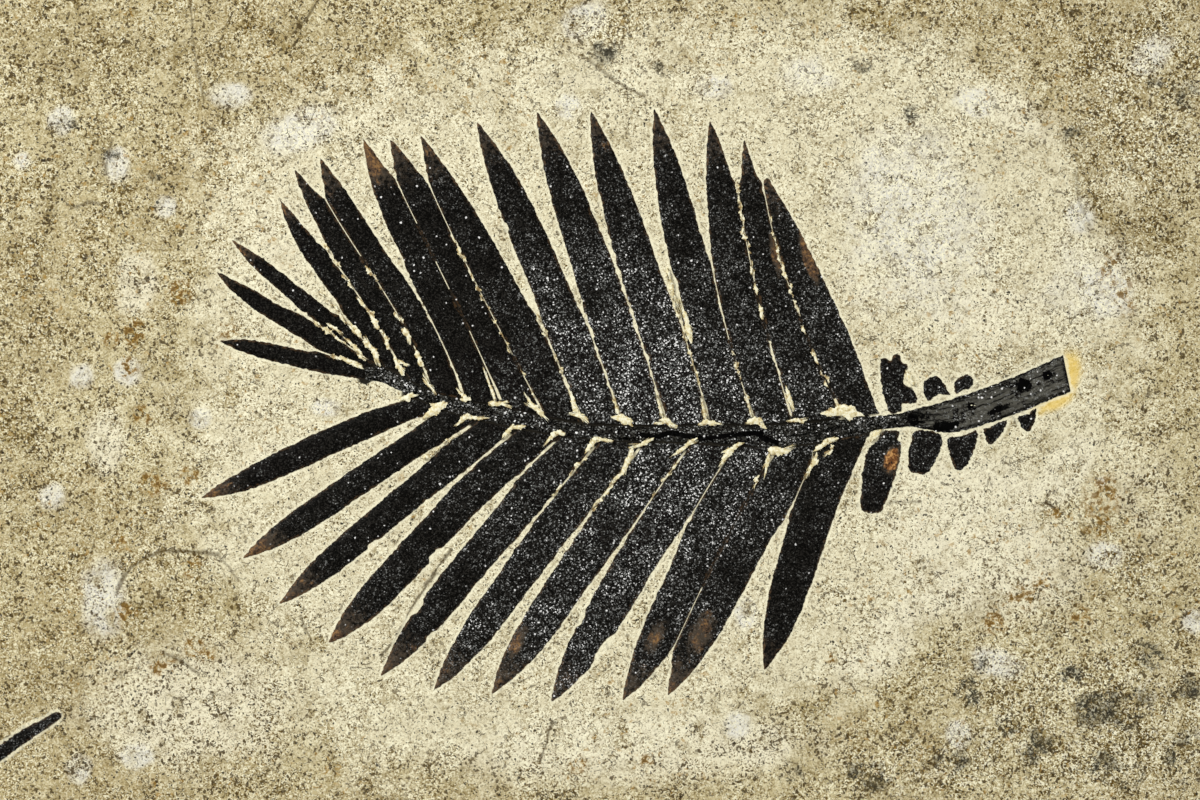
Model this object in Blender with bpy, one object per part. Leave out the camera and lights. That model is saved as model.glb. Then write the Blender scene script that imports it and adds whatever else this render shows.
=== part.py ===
"""Fossil cycad leaf on its slab of limestone, lying flat with the leaf face up.

Metres, +Z up. +X runs from the leaf's apex to its broken stalk, +Y towards the upper row of
leaflets. The origin is the middle of the slab's sawn underside. Lengths below are in millimetres
unless a name says otherwise, and turn into metres where a mesh is built.
"""

import math
import random
from dataclasses import dataclass

import bmesh
import bpy
from mathutils import Vector, noise

MM = 0.001

# Slab: overall size, and the shallow basin that was cut round the leaf to bare it.
PLATE_LENGTH = 266.0
PLATE_WIDTH = 184.0
PLATE_THICKNESS = 16.0
BASIN_DEPTH = 0.5
SURFACE_RELIEF = 0.35
EDGE_CHIP = 0.8
EDGE_STEP = 6.0
CURVE_STEPS = 8
WEAR_GRAIN = 0.05
BED_WANDER = 1.6
BED_GRAIN = 0.03
BUMP_GRAIN = 0.06
RIM_TO_FLOOR = (0.12, 0.35, 0.62, 0.88, 1.0)
SHARP_ANGLE = math.radians(35)
SEED = 41

# Leaf: a film of carbon, proud of the stone round it.
FIT_GAP = 0.3
SEAM_GAP = 0.34
MIDRIB_GAP = 0.45
FILM_EDGE = 0.45
FILM_CROWN = 0.75
LEAFLET_STEPS = 11
BOW_SCALE = 4.5
BASE_BLEND = 0.3
TIP_POWER = 3.5
TIP_CROWDING = 1.15
ROOT_SEARCH_START = 0.4
ROOT_SEARCH_STEP = 0.002
RACHIS_STEP = 2.8
APEX_THINNING = 0.35
STALK_END_SLANT = 1.4
STALK_SLANT_FROM = 0.8

# Split outline of the slab from its lower left, before it is stretched to its length and width.
PLATE_OUTLINE = (
    (-131, -60), (-127, -80), (-110, -90), (-80, -87), (-42, -91), (-4, -89), (36, -91),
    (74, -88), (106, -92), (125, -82), (128, -60), (126, -30), (131, 4), (129, 40), (132, 66),
    (122, 85), (98, 90), (62, 87), (22, 92), (-24, 89), (-64, 91), (-98, 88), (-121, 84),
    (-129, 64), (-126, 32), (-132, -4), (-129, -34),
)

# Floor of the basin: a loose ring round the leaf that also takes in the loose fragment.
BASIN_OUTLINE = (
    (-121, -60), (-122, -76), (-104, -76), (-88, -64), (-60, -66), (-30, -70), (0, -71),
    (34, -66), (52, -48), (72, -30), (92, -16), (99, 4), (96, 18), (78, 24), (62, 34),
    (48, 52), (22, 64), (-10, 68), (-44, 64), (-72, 54), (-86, 34), (-88, 8), (-96, -24),
    (-112, -46),
)

# Bedding planes down the broken side: (share of the thickness, how far the bed stands out).
BEDS = (
    (1.0, -0.9), (0.94, 0.1), (0.7, 0.9), (0.66, 2.4), (0.4, 2.9), (0.36, 1.3), (0.06, 0.7),
    (0.0, 0.0),
)

# Midrib across its width: (share of the width, height over the film's underside).
RACHIS_PROFILE = ((0.0, 0.45), (0.2, 1.05), (0.5, 0.75), (0.8, 1.05), (1.0, 0.45))

# Midrib and stalk: (x, upper edge, lower edge), from the apex to the broken end.
RACHIS_STATIONS = (
    (-44.6, 6.1, 3.9), (-41.8, 6.2, 3.5), (-39.0, 4.9, 2.3), (-35.1, 2.8, 0.7),
    (-31.2, 1.2, -1.1), (-25.3, -0.4, -3.0), (-18.1, -1.6, -4.6), (-10.4, -3.4, -6.1),
    (-3.6, -4.7, -7.0), (4.8, -5.1, -7.6), (13.3, -5.2, -7.8), (20.9, -4.8, -8.1),
    (29.8, -5.0, -8.7), (38.0, -4.5, -8.4), (45.6, -3.9, -7.3), (51.3, -3.2, -6.0),
    (55.1, -2.9, -5.3), (59.9, -1.8, -5.1), (65.2, -0.4, -6.1), (70.3, 1.2, -5.2),
    (77.3, 3.8, -2.9), (83.6, 6.5, -0.2), (88.0, 8.4, 1.7),
)


@dataclass(frozen=True)
class Leaflet:
    """One long leaflet: where it leaves the midrib, where it ends, and how it bends and tapers.

    The bows push the middle line towards the right as seen from base to tip, one third and two
    thirds of the way along. taper is the share of the length over which the tip narrows, and
    neck the base's width over the full width.
    """

    base: tuple
    tip: tuple
    width: float
    near_bow: float = 0.0
    far_bow: float = 0.0
    taper: float = 0.55
    neck: float = 1.0


UPPER_LEAFLETS = (
    Leaflet((-44.5, 4.95), (-72.2, 11.2), 3.1, 0.0, 0.1, neck=0.68),
    Leaflet((-44.5, 7.0), (-72.8, 24.3), 3.2, -0.6, -0.8, neck=0.45),
    Leaflet((-42.8, 7.5), (-69.9, 30.4), 2.9, 0.2, -0.1, neck=0.5),
    Leaflet((-40.0, 6.6), (-60.8, 38.0), 3.6, 0.3, -0.3, taper=0.6, neck=0.65),
    Leaflet((-34.2, 2.8), (-58.0, 43.7), 4.3, 1.0, 0.45, taper=0.6, neck=0.6),
    Leaflet((-28.4, 0.2), (-53.2, 46.0), 4.5, 1.05, -0.2, taper=0.45, neck=0.85),
    Leaflet((-21.9, -0.9), (-45.0, 49.6), 5.5, 0.6, 0.0, neck=0.88),
    Leaflet((-13.5, -2.7), (-39.9, 49.4), 5.2, -0.5, -0.2, taper=0.42),
    Leaflet((-7.6, -3.4), (-34.0, 50.2), 6.6, 0.6, 0.0, taper=0.65, neck=0.85),
    Leaflet((0.4, -4.2), (-23.4, 52.8), 6.6, 0.6, 0.6, taper=0.6, neck=0.92),
    Leaflet((8.6, -4.6), (-12.0, 54.7), 7.2, 0.2, 0.3, taper=0.65, neck=0.97),
    Leaflet((16.9, -4.9), (-1.7, 54.9), 6.8, 0.2, -0.2, taper=0.62, neck=1.06),
    Leaflet((25.4, -5.1), (10.3, 55.3), 6.9, -0.75, -0.6, taper=0.65, neck=1.08),
    Leaflet((33.7, -4.9), (20.9, 53.0), 6.4, -1.9, -1.35, taper=0.6, neck=1.03),
    Leaflet((40.4, -4.2), (27.4, 49.4), 6.2, -0.7, -1.25, taper=0.8, neck=1.2),
    Leaflet((50.7, -3.0), (31.7, 42.2), 7.0, -0.8, -1.0, taper=0.75, neck=0.64),
)

LOWER_LEAFLETS = (
    Leaflet((-31.0, -0.2), (-75.7, -18.6), 4.75, 0.75, 0.2, neck=0.62),
    Leaflet((-26.0, -2.5), (-67.8, -30.0), 4.9, 0.15, -0.1, taper=0.5, neck=0.9),
    Leaflet((-19.2, -4.4), (-60.9, -38.7), 5.2, 0.15, 0.05, taper=0.5, neck=0.95),
    Leaflet((-11.2, -6.3), (-51.5, -46.1), 6.2, 1.1, 0.45, taper=0.42, neck=0.9),
    Leaflet((-4.0, -7.4), (-41.6, -52.4), 6.2, 0.5, 0.35, taper=0.5, neck=0.95),
    Leaflet((4.2, -7.8), (-31.5, -55.1), 6.2, 0.45, 0.25, taper=0.48),
    Leaflet((13.3, -7.8), (-20.6, -55.8), 6.8, 0.4, 0.2, taper=0.48),
    Leaflet((21.9, -8.0), (-9.2, -57.3), 7.1, 0.55, 0.3, taper=0.48),
    Leaflet((29.6, -8.7), (4.3, -57.0), 7.2, 0.5, -0.2, neck=0.97),
    Leaflet((38.4, -8.7), (12.9, -56.1), 7.3, 0.5, 0.4, neck=0.97),
    Leaflet((45.6, -8.2), (31.2, -51.2), 7.5, 0.5, 0.3, taper=0.65, neck=1.12),
)

# Torn leaflet bases beside the stalk, and the loose strip, as outlines.
UPPER_STUBS = (
    (
        (55.1, -2.5), (54.3, -0.6), (53.7, 1.5), (53.3, 4.6), (53.3, 7.4), (54.3, 8.0),
        (55.1, 7.4), (56.0, 8.6), (56.7, 8.8), (57.4, 7.2), (58.5, 6.8), (58.5, 5.9),
        (57.8, 5.1), (57.8, 3.2), (58.5, 2.5), (59.5, 2.3), (60.2, -0.4), (57.4, -0.7),
        (57.3, -2.1),
    ),
    (
        (61.4, 1.9), (61.5, 3.4), (62.7, 4.3), (63.8, 4.7), (64.8, 4.0), (65.7, 2.4),
        (66.6, 0.9), (64.6, 1.1), (63.3, 0.4), (62.4, -0.2), (61.8, 0.6),
    ),
    (
        (67.3, 2.2), (67.5, 3.5), (68.7, 4.5), (69.8, 4.9), (71.0, 3.8), (70.4, 2.4),
        (69.0, 1.8), (67.8, 1.2),
    ),
)

LOWER_STUBS = (
    (
        (53.5, -5.9), (53.4, -7.0), (51.3, -8.9), (50.4, -10.8), (49.9, -13.7),
        (49.6, -17.1), (49.7, -20.9), (52.9, -21.5), (54.1, -19.6), (55.3, -16.9),
        (56.2, -14.2), (56.9, -11.6), (57.3, -8.8), (56.5, -7.2), (56.9, -5.9),
    ),
    (
        (60.0, -5.7), (59.2, -7.6), (58.6, -9.9), (58.7, -13.3), (60.0, -13.9),
        (61.4, -14.2), (62.7, -13.3), (64.0, -11.3), (64.7, -9.1), (64.7, -6.5),
    ),
    (
        (66.0, -7.3), (66.4, -10.3), (67.5, -13.1), (69.1, -13.0), (70.3, -11.4),
        (71.2, -9.2), (71.7, -7.2), (71.5, -5.7), (68.6, -6.9),
    ),
    (
        (72.9, -5.4), (73.2, -7.0), (73.7, -8.3), (74.6, -8.2), (76.6, -6.0), (77.4, -3.7),
        (75.8, -4.3), (74.1, -5.1),
    ),
    (
        (79.4, -3.2), (79.8, -4.6), (80.5, -5.7), (81.7, -5.9), (82.5, -4.3), (82.9, -2.7),
        (82.9, -1.6), (81.9, -2.0), (81.8, -2.6), (80.5, -2.9),
    ),
)

LOOSE_FRAGMENT = (
    (-119.9, -69.5), (-114.0, -65.5), (-110.1, -62.8), (-106.4, -60.9), (-103.3, -59.3),
    (-102.3, -59.8), (-102.6, -60.6), (-104.9, -62.2), (-108.1, -64.4), (-114.0, -68.6),
    (-119.3, -72.4),
)

# Finishes: linear colour and roughness.
LIMESTONE = ((0.56, 0.5, 0.33), 0.9)
LEAFLET_CARBON = ((0.02, 0.017, 0.014), 0.42)
RACHIS_CARBON = ((0.028, 0.026, 0.024), 0.36)
STUB_CARBON = ((0.018, 0.014, 0.011), 0.5)
FRAGMENT_CARBON = ((0.022, 0.018, 0.014), 0.5)

PLATE_TOP = PLATE_THICKNESS
BASIN_FLOOR = PLATE_TOP - BASIN_DEPTH
FILM_UNDERSIDE = BASIN_FLOOR + FIT_GAP


def clear_scene():
    """Empty the startup scene."""
    for item in list(bpy.data.objects):
        bpy.data.objects.remove(item, do_unlink=True)


def make_material(name, finish):
    """A Principled material of one colour and roughness."""
    colour, roughness = finish
    material = bpy.data.materials.new(name)
    material.use_nodes = True
    shader = material.node_tree.nodes["Principled BSDF"]
    shader.inputs["Base Color"].default_value = (*colour, 1.0)
    shader.inputs["Roughness"].default_value = roughness
    material.diffuse_color = (*colour, 1.0)
    return material


def add_object(name, mesh_builder, material):
    """Turn a bmesh held in millimetres into an object in metres."""
    bmesh.ops.recalc_face_normals(mesh_builder, faces=mesh_builder.faces)
    bmesh.ops.scale(mesh_builder, vec=(MM, MM, MM), verts=mesh_builder.verts)
    mesh = bpy.data.meshes.new(name)
    mesh_builder.to_mesh(mesh)
    mesh_builder.free()
    mesh.shade_smooth()
    mesh.set_sharp_from_angle(angle=SHARP_ANGLE)
    mesh.materials.append(material)
    item = bpy.data.objects.new(name, mesh)
    bpy.context.scene.collection.objects.link(item)
    return item


def smooth_loop(points, count):
    """Walk once round a closed Catmull-Rom curve through the points, in even steps of length."""
    corners = [Vector((x, y, 0.0)) for x, y in points]
    walk = []
    for index, start in enumerate(corners):
        before, end, after = (corners[(index + k) % len(corners)] for k in (-1, 1, 2))
        for step in range(CURVE_STEPS):
            t = step / CURVE_STEPS
            walk.append(
                0.5
                * (
                    2 * start
                    + (end - before) * t
                    + (2 * before - 5 * start + 4 * end - after) * t**2
                    + (3 * start - before - 3 * end + after) * t**3
                )
            )
    lengths = [0.0]
    for index, point in enumerate(walk):
        lengths.append(lengths[-1] + (walk[(index + 1) % len(walk)] - point).length)
    loop, place = [], 0
    for step in range(count):
        distance = lengths[-1] * step / count
        while lengths[place + 1] < distance:
            place += 1
        share = (distance - lengths[place]) / (lengths[place + 1] - lengths[place])
        loop.append(walk[place].lerp(walk[(place + 1) % len(walk)], share))
    return loop


def nearest_turn(loop, other):
    """Turn the second loop's start to where the two loops run side by side best."""
    def spread(shift):
        return sum((a - other[(k + shift) % len(other)]).length for k, a in enumerate(loop))

    best = min(range(len(other)), key=spread)
    return [other[(k + best) % len(other)] for k in range(len(other))]


def fit_to_plate(loop):
    """Stretch a loop so that it fills the slab's length and width about the origin."""
    lows = [min(point[axis] for point in loop) for axis in (0, 1)]
    highs = [max(point[axis] for point in loop) for axis in (0, 1)]
    return [
        Vector((
            ((point.x - lows[0]) / (highs[0] - lows[0]) - 0.5) * PLATE_LENGTH,
            ((point.y - lows[1]) / (highs[1] - lows[1]) - 0.5) * PLATE_WIDTH,
            0.0,
        ))
        for point in loop
    ]


def outward(loop, index):
    """Unit vector pointing out of an anticlockwise loop at one of its points."""
    along = loop[(index + 1) % len(loop)] - loop[index - 1]
    return Vector((along.y, -along.x, 0.0)).normalized()


def bridge(builder, lower, upper):
    """Close the band between two rings of vertices with quads."""
    count = len(lower)
    for k in range(count):
        builder.faces.new((lower[k], lower[(k + 1) % count], upper[(k + 1) % count], upper[k]))


def build_plate(material):
    """The slab: sawn underside, bedded broken sides, uneven face and the flat basin floor."""
    shaker = random.Random(SEED)
    count = round(2 * (PLATE_LENGTH + PLATE_WIDTH) / EDGE_STEP)
    outline = smooth_loop(PLATE_OUTLINE, count)
    outline = [point + outward(outline, k) * shaker.uniform(-EDGE_CHIP, EDGE_CHIP)
               for k, point in enumerate(outline)]
    widest_bed = max(out for _, out in BEDS)
    silhouette = [point + outward(outline, k) * widest_bed for k, point in enumerate(outline)]
    silhouette = fit_to_plate(silhouette)
    basin = nearest_turn(silhouette, smooth_loop(BASIN_OUTLINE, count))

    builder = bmesh.new()
    rings = []
    for share, out in reversed(BEDS):
        ring = []
        for k, point in enumerate(silhouette):
            height = share * PLATE_THICKNESS
            inset = widest_bed - out
            if 0 < share < 1:
                inset *= 1 + 0.5 * noise.noise(Vector((point.x, point.y, height)) * WEAR_GRAIN)
                height += BED_WANDER * noise.noise(point * BED_GRAIN)
            place = point - outward(silhouette, k) * inset
            ring.append(builder.verts.new((place.x, place.y, height)))
        rings.append(ring)
    rim = [vertex.co.copy() for vertex in rings[-1]]
    for share in RIM_TO_FLOOR:
        ring = []
        for edge, floor in zip(rim, basin):
            place = edge.lerp(floor, share)
            bumps = noise.noise(Vector((place.x, place.y, 0)) * BUMP_GRAIN) * 2 * SURFACE_RELIEF
            place.z = BASIN_FLOOR if share == 1.0 else PLATE_TOP + bumps * (1 - share)
            ring.append(builder.verts.new(place))
        rings.append(ring)
    for lower, upper in zip(rings, rings[1:]):
        bridge(builder, lower, upper)
    builder.faces.new(rings[-1])
    builder.faces.new(list(reversed(rings[0])))
    return add_object("stone_plate", builder, material)


def rachis_edges(x):
    """Upper and lower edge of the midrib at one x, on smooth curves through its stations."""
    last = len(RACHIS_STATIONS) - 1
    spot = 0
    while spot < last - 1 and RACHIS_STATIONS[spot + 1][0] < x:
        spot += 1
    before = RACHIS_STATIONS[max(spot - 1, 0)]
    start, end = RACHIS_STATIONS[spot], RACHIS_STATIONS[spot + 1]
    after = RACHIS_STATIONS[min(spot + 2, last)]
    span = end[0] - start[0]
    t = min(max((x - start[0]) / span, 0.0), 1.0)
    edges = []
    for column in (1, 2):
        slope_in = (end[column] - before[column]) / (end[0] - before[0]) * span
        slope_out = (after[column] - start[column]) / (after[0] - start[0]) * span
        edges.append(
            start[column] * (2 * t**3 - 3 * t**2 + 1) + end[column] * (3 * t**2 - 2 * t**3)
            + slope_in * (t**3 - 2 * t**2 + t) + slope_out * (t**3 - t**2)
        )
    return edges


def build_rachis(material):
    """Midrib and stalk: a strap with two raised shoulders and a shallow groove between them."""
    first, last = RACHIS_STATIONS[0][0], RACHIS_STATIONS[-1][0]
    steps = round((last - first) / RACHIS_STEP)
    builder = bmesh.new()
    sections = []
    for step in range(steps + 1):
        share = step / steps
        section = []
        x = first + (last - first) * share
        top, bottom = rachis_edges(x)
        swelling = min(1.0, 1 - APEX_THINNING + share)
        slanting = STALK_END_SLANT * max(0.0, share - STALK_SLANT_FROM) / (1 - STALK_SLANT_FROM)
        for across, raised in RACHIS_PROFILE:
            y = top + (bottom - top) * across
            z = FILM_UNDERSIDE + raised * swelling
            section.append(Vector((x + slanting * across, y, z)))
        section.append(Vector((section[-1].x, section[-1].y, FILM_UNDERSIDE)))
        section.append(Vector((section[0].x, section[0].y, FILM_UNDERSIDE)))
        sections.append([builder.verts.new(place) for place in section])
    for one, two in zip(sections, sections[1:]):
        bridge(builder, one, two)
    builder.faces.new(sections[0])
    builder.faces.new(sections[-1])
    return add_object("rachis", builder, material)


def edge_offset(leaf, along, side):
    """How far to the right of a leaflet's chord its left edge (-1), middle (0) or right edge (1) lies."""
    bow = BOW_SCALE * along * (1 - along) * (
        leaf.near_bow * (2 - 3 * along) + leaf.far_bow * (3 * along - 1)
    )
    from_tip = min(max((1 - along) / leaf.taper, 0.0), 1.0)
    fullness = 1 - (1 - from_tip) ** TIP_POWER
    root = min(max(along / BASE_BLEND, 0.0), 1.0)
    neck = leaf.neck + (1 - leaf.neck) * root * root * (3 - 2 * root)
    return bow + side * 0.5 * leaf.width * fullness * neck


def leaflet_axes(leaf):
    """A leaflet's base, the chord from there to its tip, and the unit vector to the chord's right."""
    base = Vector(leaf.base)
    chord = Vector(leaf.tip) - base
    return base, chord, Vector((chord.y, -chord.x)).normalized()


def leaflet_point(leaf, along, side, neighbour=None):
    """A point of the leaflet, along running 0 at the base to 1 at the tip.

    Where a neighbour crowds it, the two draw back from each other by equal shares.
    """
    base, chord, right = leaflet_axes(leaf)
    point = base + chord * along + right * edge_offset(leaf, along, side)
    if neighbour:
        point -= right * side * 0.5 * crowding(point, neighbour, -side)
    return point


def crowding(point, neighbour, side):
    """How far a point lies inside the gap kept clear beside one edge of a neighbouring leaflet."""
    base, chord, right = leaflet_axes(neighbour)
    reach = point - base
    along = reach.dot(chord) / chord.length_squared
    if not -BASE_BLEND / 2 < along < 1.0:
        return 0.0
    beside = side * (reach.dot(right) - edge_offset(neighbour, along, side))
    return max(0.0, SEAM_GAP - beside)


def clear_of_rachis(point):
    """True where a point lies beside the midrib by at least the gap kept there."""
    if point.x < RACHIS_STATIONS[0][0] - FIT_GAP:
        return True
    top, bottom = rachis_edges(point.x)
    return point.y > top + MIDRIB_GAP or point.y < bottom - MIDRIB_GAP


def root_of(leaf, side, neighbour):
    """How far along the leaflet its edge first stands clear of the midrib."""
    along = ROOT_SEARCH_START
    furthest = -0.5 * leaf.width / leaflet_axes(leaf)[1].length
    while along > furthest and clear_of_rachis(leaflet_point(leaf, along, side, neighbour)):
        along -= ROOT_SEARCH_STEP
    return along + ROOT_SEARCH_STEP


def build_leaflet(name, leaf, left_neighbour, right_neighbour, material):
    """A leaflet: a film with a low crown down its middle line, cut off along the midrib."""
    rails = ((-1, left_neighbour), (0, None), (1, right_neighbour))
    roots = [root_of(leaf, side, neighbour) for side, neighbour in rails]
    builder = bmesh.new()
    sections = []
    for step in range(LEAFLET_STEPS):
        share = 1 - (1 - step / LEAFLET_STEPS) ** TIP_CROWDING
        section = []
        for (side, neighbour), root in zip(rails, roots):
            point = leaflet_point(leaf, root + (1 - root) * share, side, neighbour)
            raised = FILM_EDGE if side else FILM_CROWN
            section.append(Vector((*point, FILM_UNDERSIDE + raised)))
        section.append(Vector((section[2].x, section[2].y, FILM_UNDERSIDE)))
        section.append(Vector((section[0].x, section[0].y, FILM_UNDERSIDE)))
        sections.append([builder.verts.new(place) for place in section])
    for one, two in zip(sections, sections[1:]):
        bridge(builder, one, two)
    tip_top = builder.verts.new((*leaf.tip, FILM_UNDERSIDE + FILM_EDGE))
    tip_low = builder.verts.new((*leaf.tip, FILM_UNDERSIDE))
    left, crown, right, low_right, low_left = sections[-1]
    builder.faces.new((left, crown, tip_top))
    builder.faces.new((crown, right, tip_top))
    builder.faces.new((right, low_right, tip_low, tip_top))
    builder.faces.new((low_right, low_left, tip_low))
    builder.faces.new((low_left, left, tip_top, tip_low))
    builder.faces.new(sections[0])
    return add_object(name, builder, material)


def build_patch(name, outline, material):
    """A torn scrap of the film: a thin prism with its top drawn in to a low crown."""
    builder = bmesh.new()
    floor = [builder.verts.new((x, y, FILM_UNDERSIDE)) for x, y in outline]
    face = builder.faces.new(floor)
    wall = bmesh.ops.extrude_face_region(builder, geom=[face])["geom"]
    lifted = [part for part in wall if isinstance(part, bmesh.types.BMVert)]
    bmesh.ops.translate(builder, vec=(0, 0, FILM_EDGE), verts=lifted)
    top = next(part for part in wall if isinstance(part, bmesh.types.BMFace))
    bmesh.ops.inset_region(
        builder, faces=[top], thickness=FILM_EDGE, depth=0.0, use_even_offset=False
    )
    bmesh.ops.translate(builder, vec=(0, 0, FILM_CROWN - FILM_EDGE), verts=list(top.verts))
    return add_object(name, builder, material)


def main():
    clear_scene()
    build_plate(make_material("limestone", LIMESTONE))
    build_rachis(make_material("midrib carbon", RACHIS_CARBON))
    film = make_material("leaflet carbon", LEAFLET_CARBON)
    for row, leaflets in (("upper", UPPER_LEAFLETS), ("lower", LOWER_LEAFLETS)):
        fenced = (None, *leaflets, None)
        for number, leaf in enumerate(leaflets, 1):
            towards_apex, towards_stalk = fenced[number - 1], fenced[number + 1]
            left, right = towards_apex, towards_stalk
            if row == "lower":
                left, right = towards_stalk, towards_apex
            build_leaflet(f"leaflet_{row}_{number:02d}", leaf, left, right, film)
    torn_film = make_material("torn leaflet carbon", STUB_CARBON)
    for row, stubs in (("upper", UPPER_STUBS), ("lower", LOWER_STUBS)):
        for number, outline in enumerate(stubs, 1):
            build_patch(f"leaflet_stub_{row}_{number}", outline, torn_film)
    build_patch("loose_leaf_fragment", LOOSE_FRAGMENT, make_material("fragment carbon", FRAGMENT_CARBON))


main()
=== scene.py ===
"""Fossil cycad leaf on its slab of limestone: the finished look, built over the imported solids.

The slab, every leaflet, the midrib, the torn bases and the loose fragment each get a finely
meshed piece that stands for its plain solid. Crumbs of matrix lie in the axils and seams.

Frame: metres, +Z up, +X from the leaf's apex to its broken stalk, origin in the middle of the
slab's underside. Sizes below are in millimetres and turn into metres where a mesh is made.
"""

import logging
import math
import random
from dataclasses import dataclass, field
from enum import Enum
from typing import Callable, Sequence

import bmesh
import bpy
import numpy as np
from bmesh.types import BMEdge, BMFace, BMLayerItem, BMVert, BMesh
from bpy.types import ID, Material, Mesh, Node, NodeSocket, Object
from mathutils import Vector, kdtree, noise
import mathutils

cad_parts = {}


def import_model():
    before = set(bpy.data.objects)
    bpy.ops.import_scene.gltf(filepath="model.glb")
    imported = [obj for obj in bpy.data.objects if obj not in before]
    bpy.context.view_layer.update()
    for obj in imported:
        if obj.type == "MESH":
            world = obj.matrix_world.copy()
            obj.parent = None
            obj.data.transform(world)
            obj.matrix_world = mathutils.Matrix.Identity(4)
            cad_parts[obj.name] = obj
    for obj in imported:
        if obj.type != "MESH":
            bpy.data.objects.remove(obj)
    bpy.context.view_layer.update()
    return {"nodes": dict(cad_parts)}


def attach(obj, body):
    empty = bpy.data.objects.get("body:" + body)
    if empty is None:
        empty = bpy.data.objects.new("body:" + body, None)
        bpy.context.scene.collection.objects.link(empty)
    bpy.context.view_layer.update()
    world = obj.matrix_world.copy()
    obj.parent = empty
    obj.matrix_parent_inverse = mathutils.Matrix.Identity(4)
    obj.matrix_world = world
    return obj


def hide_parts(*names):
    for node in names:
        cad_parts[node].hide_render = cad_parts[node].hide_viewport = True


LOG = logging.getLogger("fossil_leaf")

MM = 0.001
SEED = 41
NOWHERE = (0.0, 0.0, 0.0)
# Further off than anything on the slab.
FAR = 1e3

# Levels over the slab's underside.
STONE_LEVEL = 16.07
FILM_ROOT = 15.9
FILM_RIM = 16.14
FILM_SHOULDER = 16.26
FILM_CROWN = 16.52
RACHIS_TOP = 16.78

# How far apart the places along a seam lie.
SEAM_STEP = 0.3


def srgb(red: float, green: float, blue: float) -> tuple[float, float, float, float]:
    """Turn an 0-255 display colour into the linear one that a shader takes.

    Args:
        red: Display red.
        green: Display green.
        blue: Display blue.

    Returns:
        Linear red, green, blue and an alpha of 1.
    """
    parts = []
    for share in (red / 255, green / 255, blue / 255):
        parts.append(share / 12.92 if share <= 0.04045 else ((share + 0.055) / 1.055) ** 2.4)
    return (*parts, 1.0)


def ease(values: np.ndarray | float, start: float, end: float) -> np.ndarray | float:
    """Smooth step over an array or for one number.

    Args:
        values: Any array of numbers, or a number.
        start: Value at which the step is 0.
        end: Value at which the step is 1. It may lie below start.

    Returns:
        As many numbers, from 0 to 1.
    """
    share = np.clip((values - start) / (end - start), 0.0, 1.0)
    return share * share * (3 - 2 * share)


def wander(x: float, y: float, z: float, grain: float) -> float:
    """Gradient noise of about -1 to 1 whose lumps are grain millimetres across."""
    return noise.noise(Vector((x, y, z)) / grain)


def roughened(x: float, y: float, z: float, grain: float, octaves: int) -> float:
    """Layered noise of about -1 to 1: each octave is half as wide and half as strong."""
    return noise.fractal(Vector((x, y, z)) / grain, 1.0, 2.0, octaves)


def roughened_over(points: np.ndarray, z: float, grain: float, octaves: int) -> np.ndarray:
    """Layered noise at every point of a plan."""
    return np.array([roughened(x, y, z, grain, octaves) for x, y in points])


# ---------------------------------------------------------------------------------- shading


class Reading:
    """A number that varies over a surface: a sum with it lays a Math node."""

    def __init__(self, bench: "NodeBench", socket: NodeSocket) -> None:
        """Hold one of the bench's sockets."""
        self.bench = bench
        self.socket = socket

    def sum(self, operation: str, first: object, second: object = 0.0) -> "Reading":
        """Lay one Math node.

        Args:
            operation: Blender's name of the sum.
            first: Number or reading.
            second: Number or reading.

        Returns:
            The result.
        """
        node = self.bench.add("ShaderNodeMath", operation=operation)
        self.bench.feed(node.inputs[0], first)
        self.bench.feed(node.inputs[1], second)
        return Reading(self.bench, node.outputs[0])

    def __add__(self, other: object) -> "Reading":
        """This and another number or reading."""
        return self.sum("ADD", self, other)

    def __sub__(self, other: object) -> "Reading":
        """This less another."""
        return self.sum("SUBTRACT", self, other)

    def __rsub__(self, other: object) -> "Reading":
        """Another less this."""
        return self.sum("SUBTRACT", other, self)

    def __mul__(self, other: object) -> "Reading":
        """This times another."""
        return self.sum("MULTIPLY", self, other)

    def __abs__(self) -> "Reading":
        """This without its sign."""
        return self.sum("ABSOLUTE", self)


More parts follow.
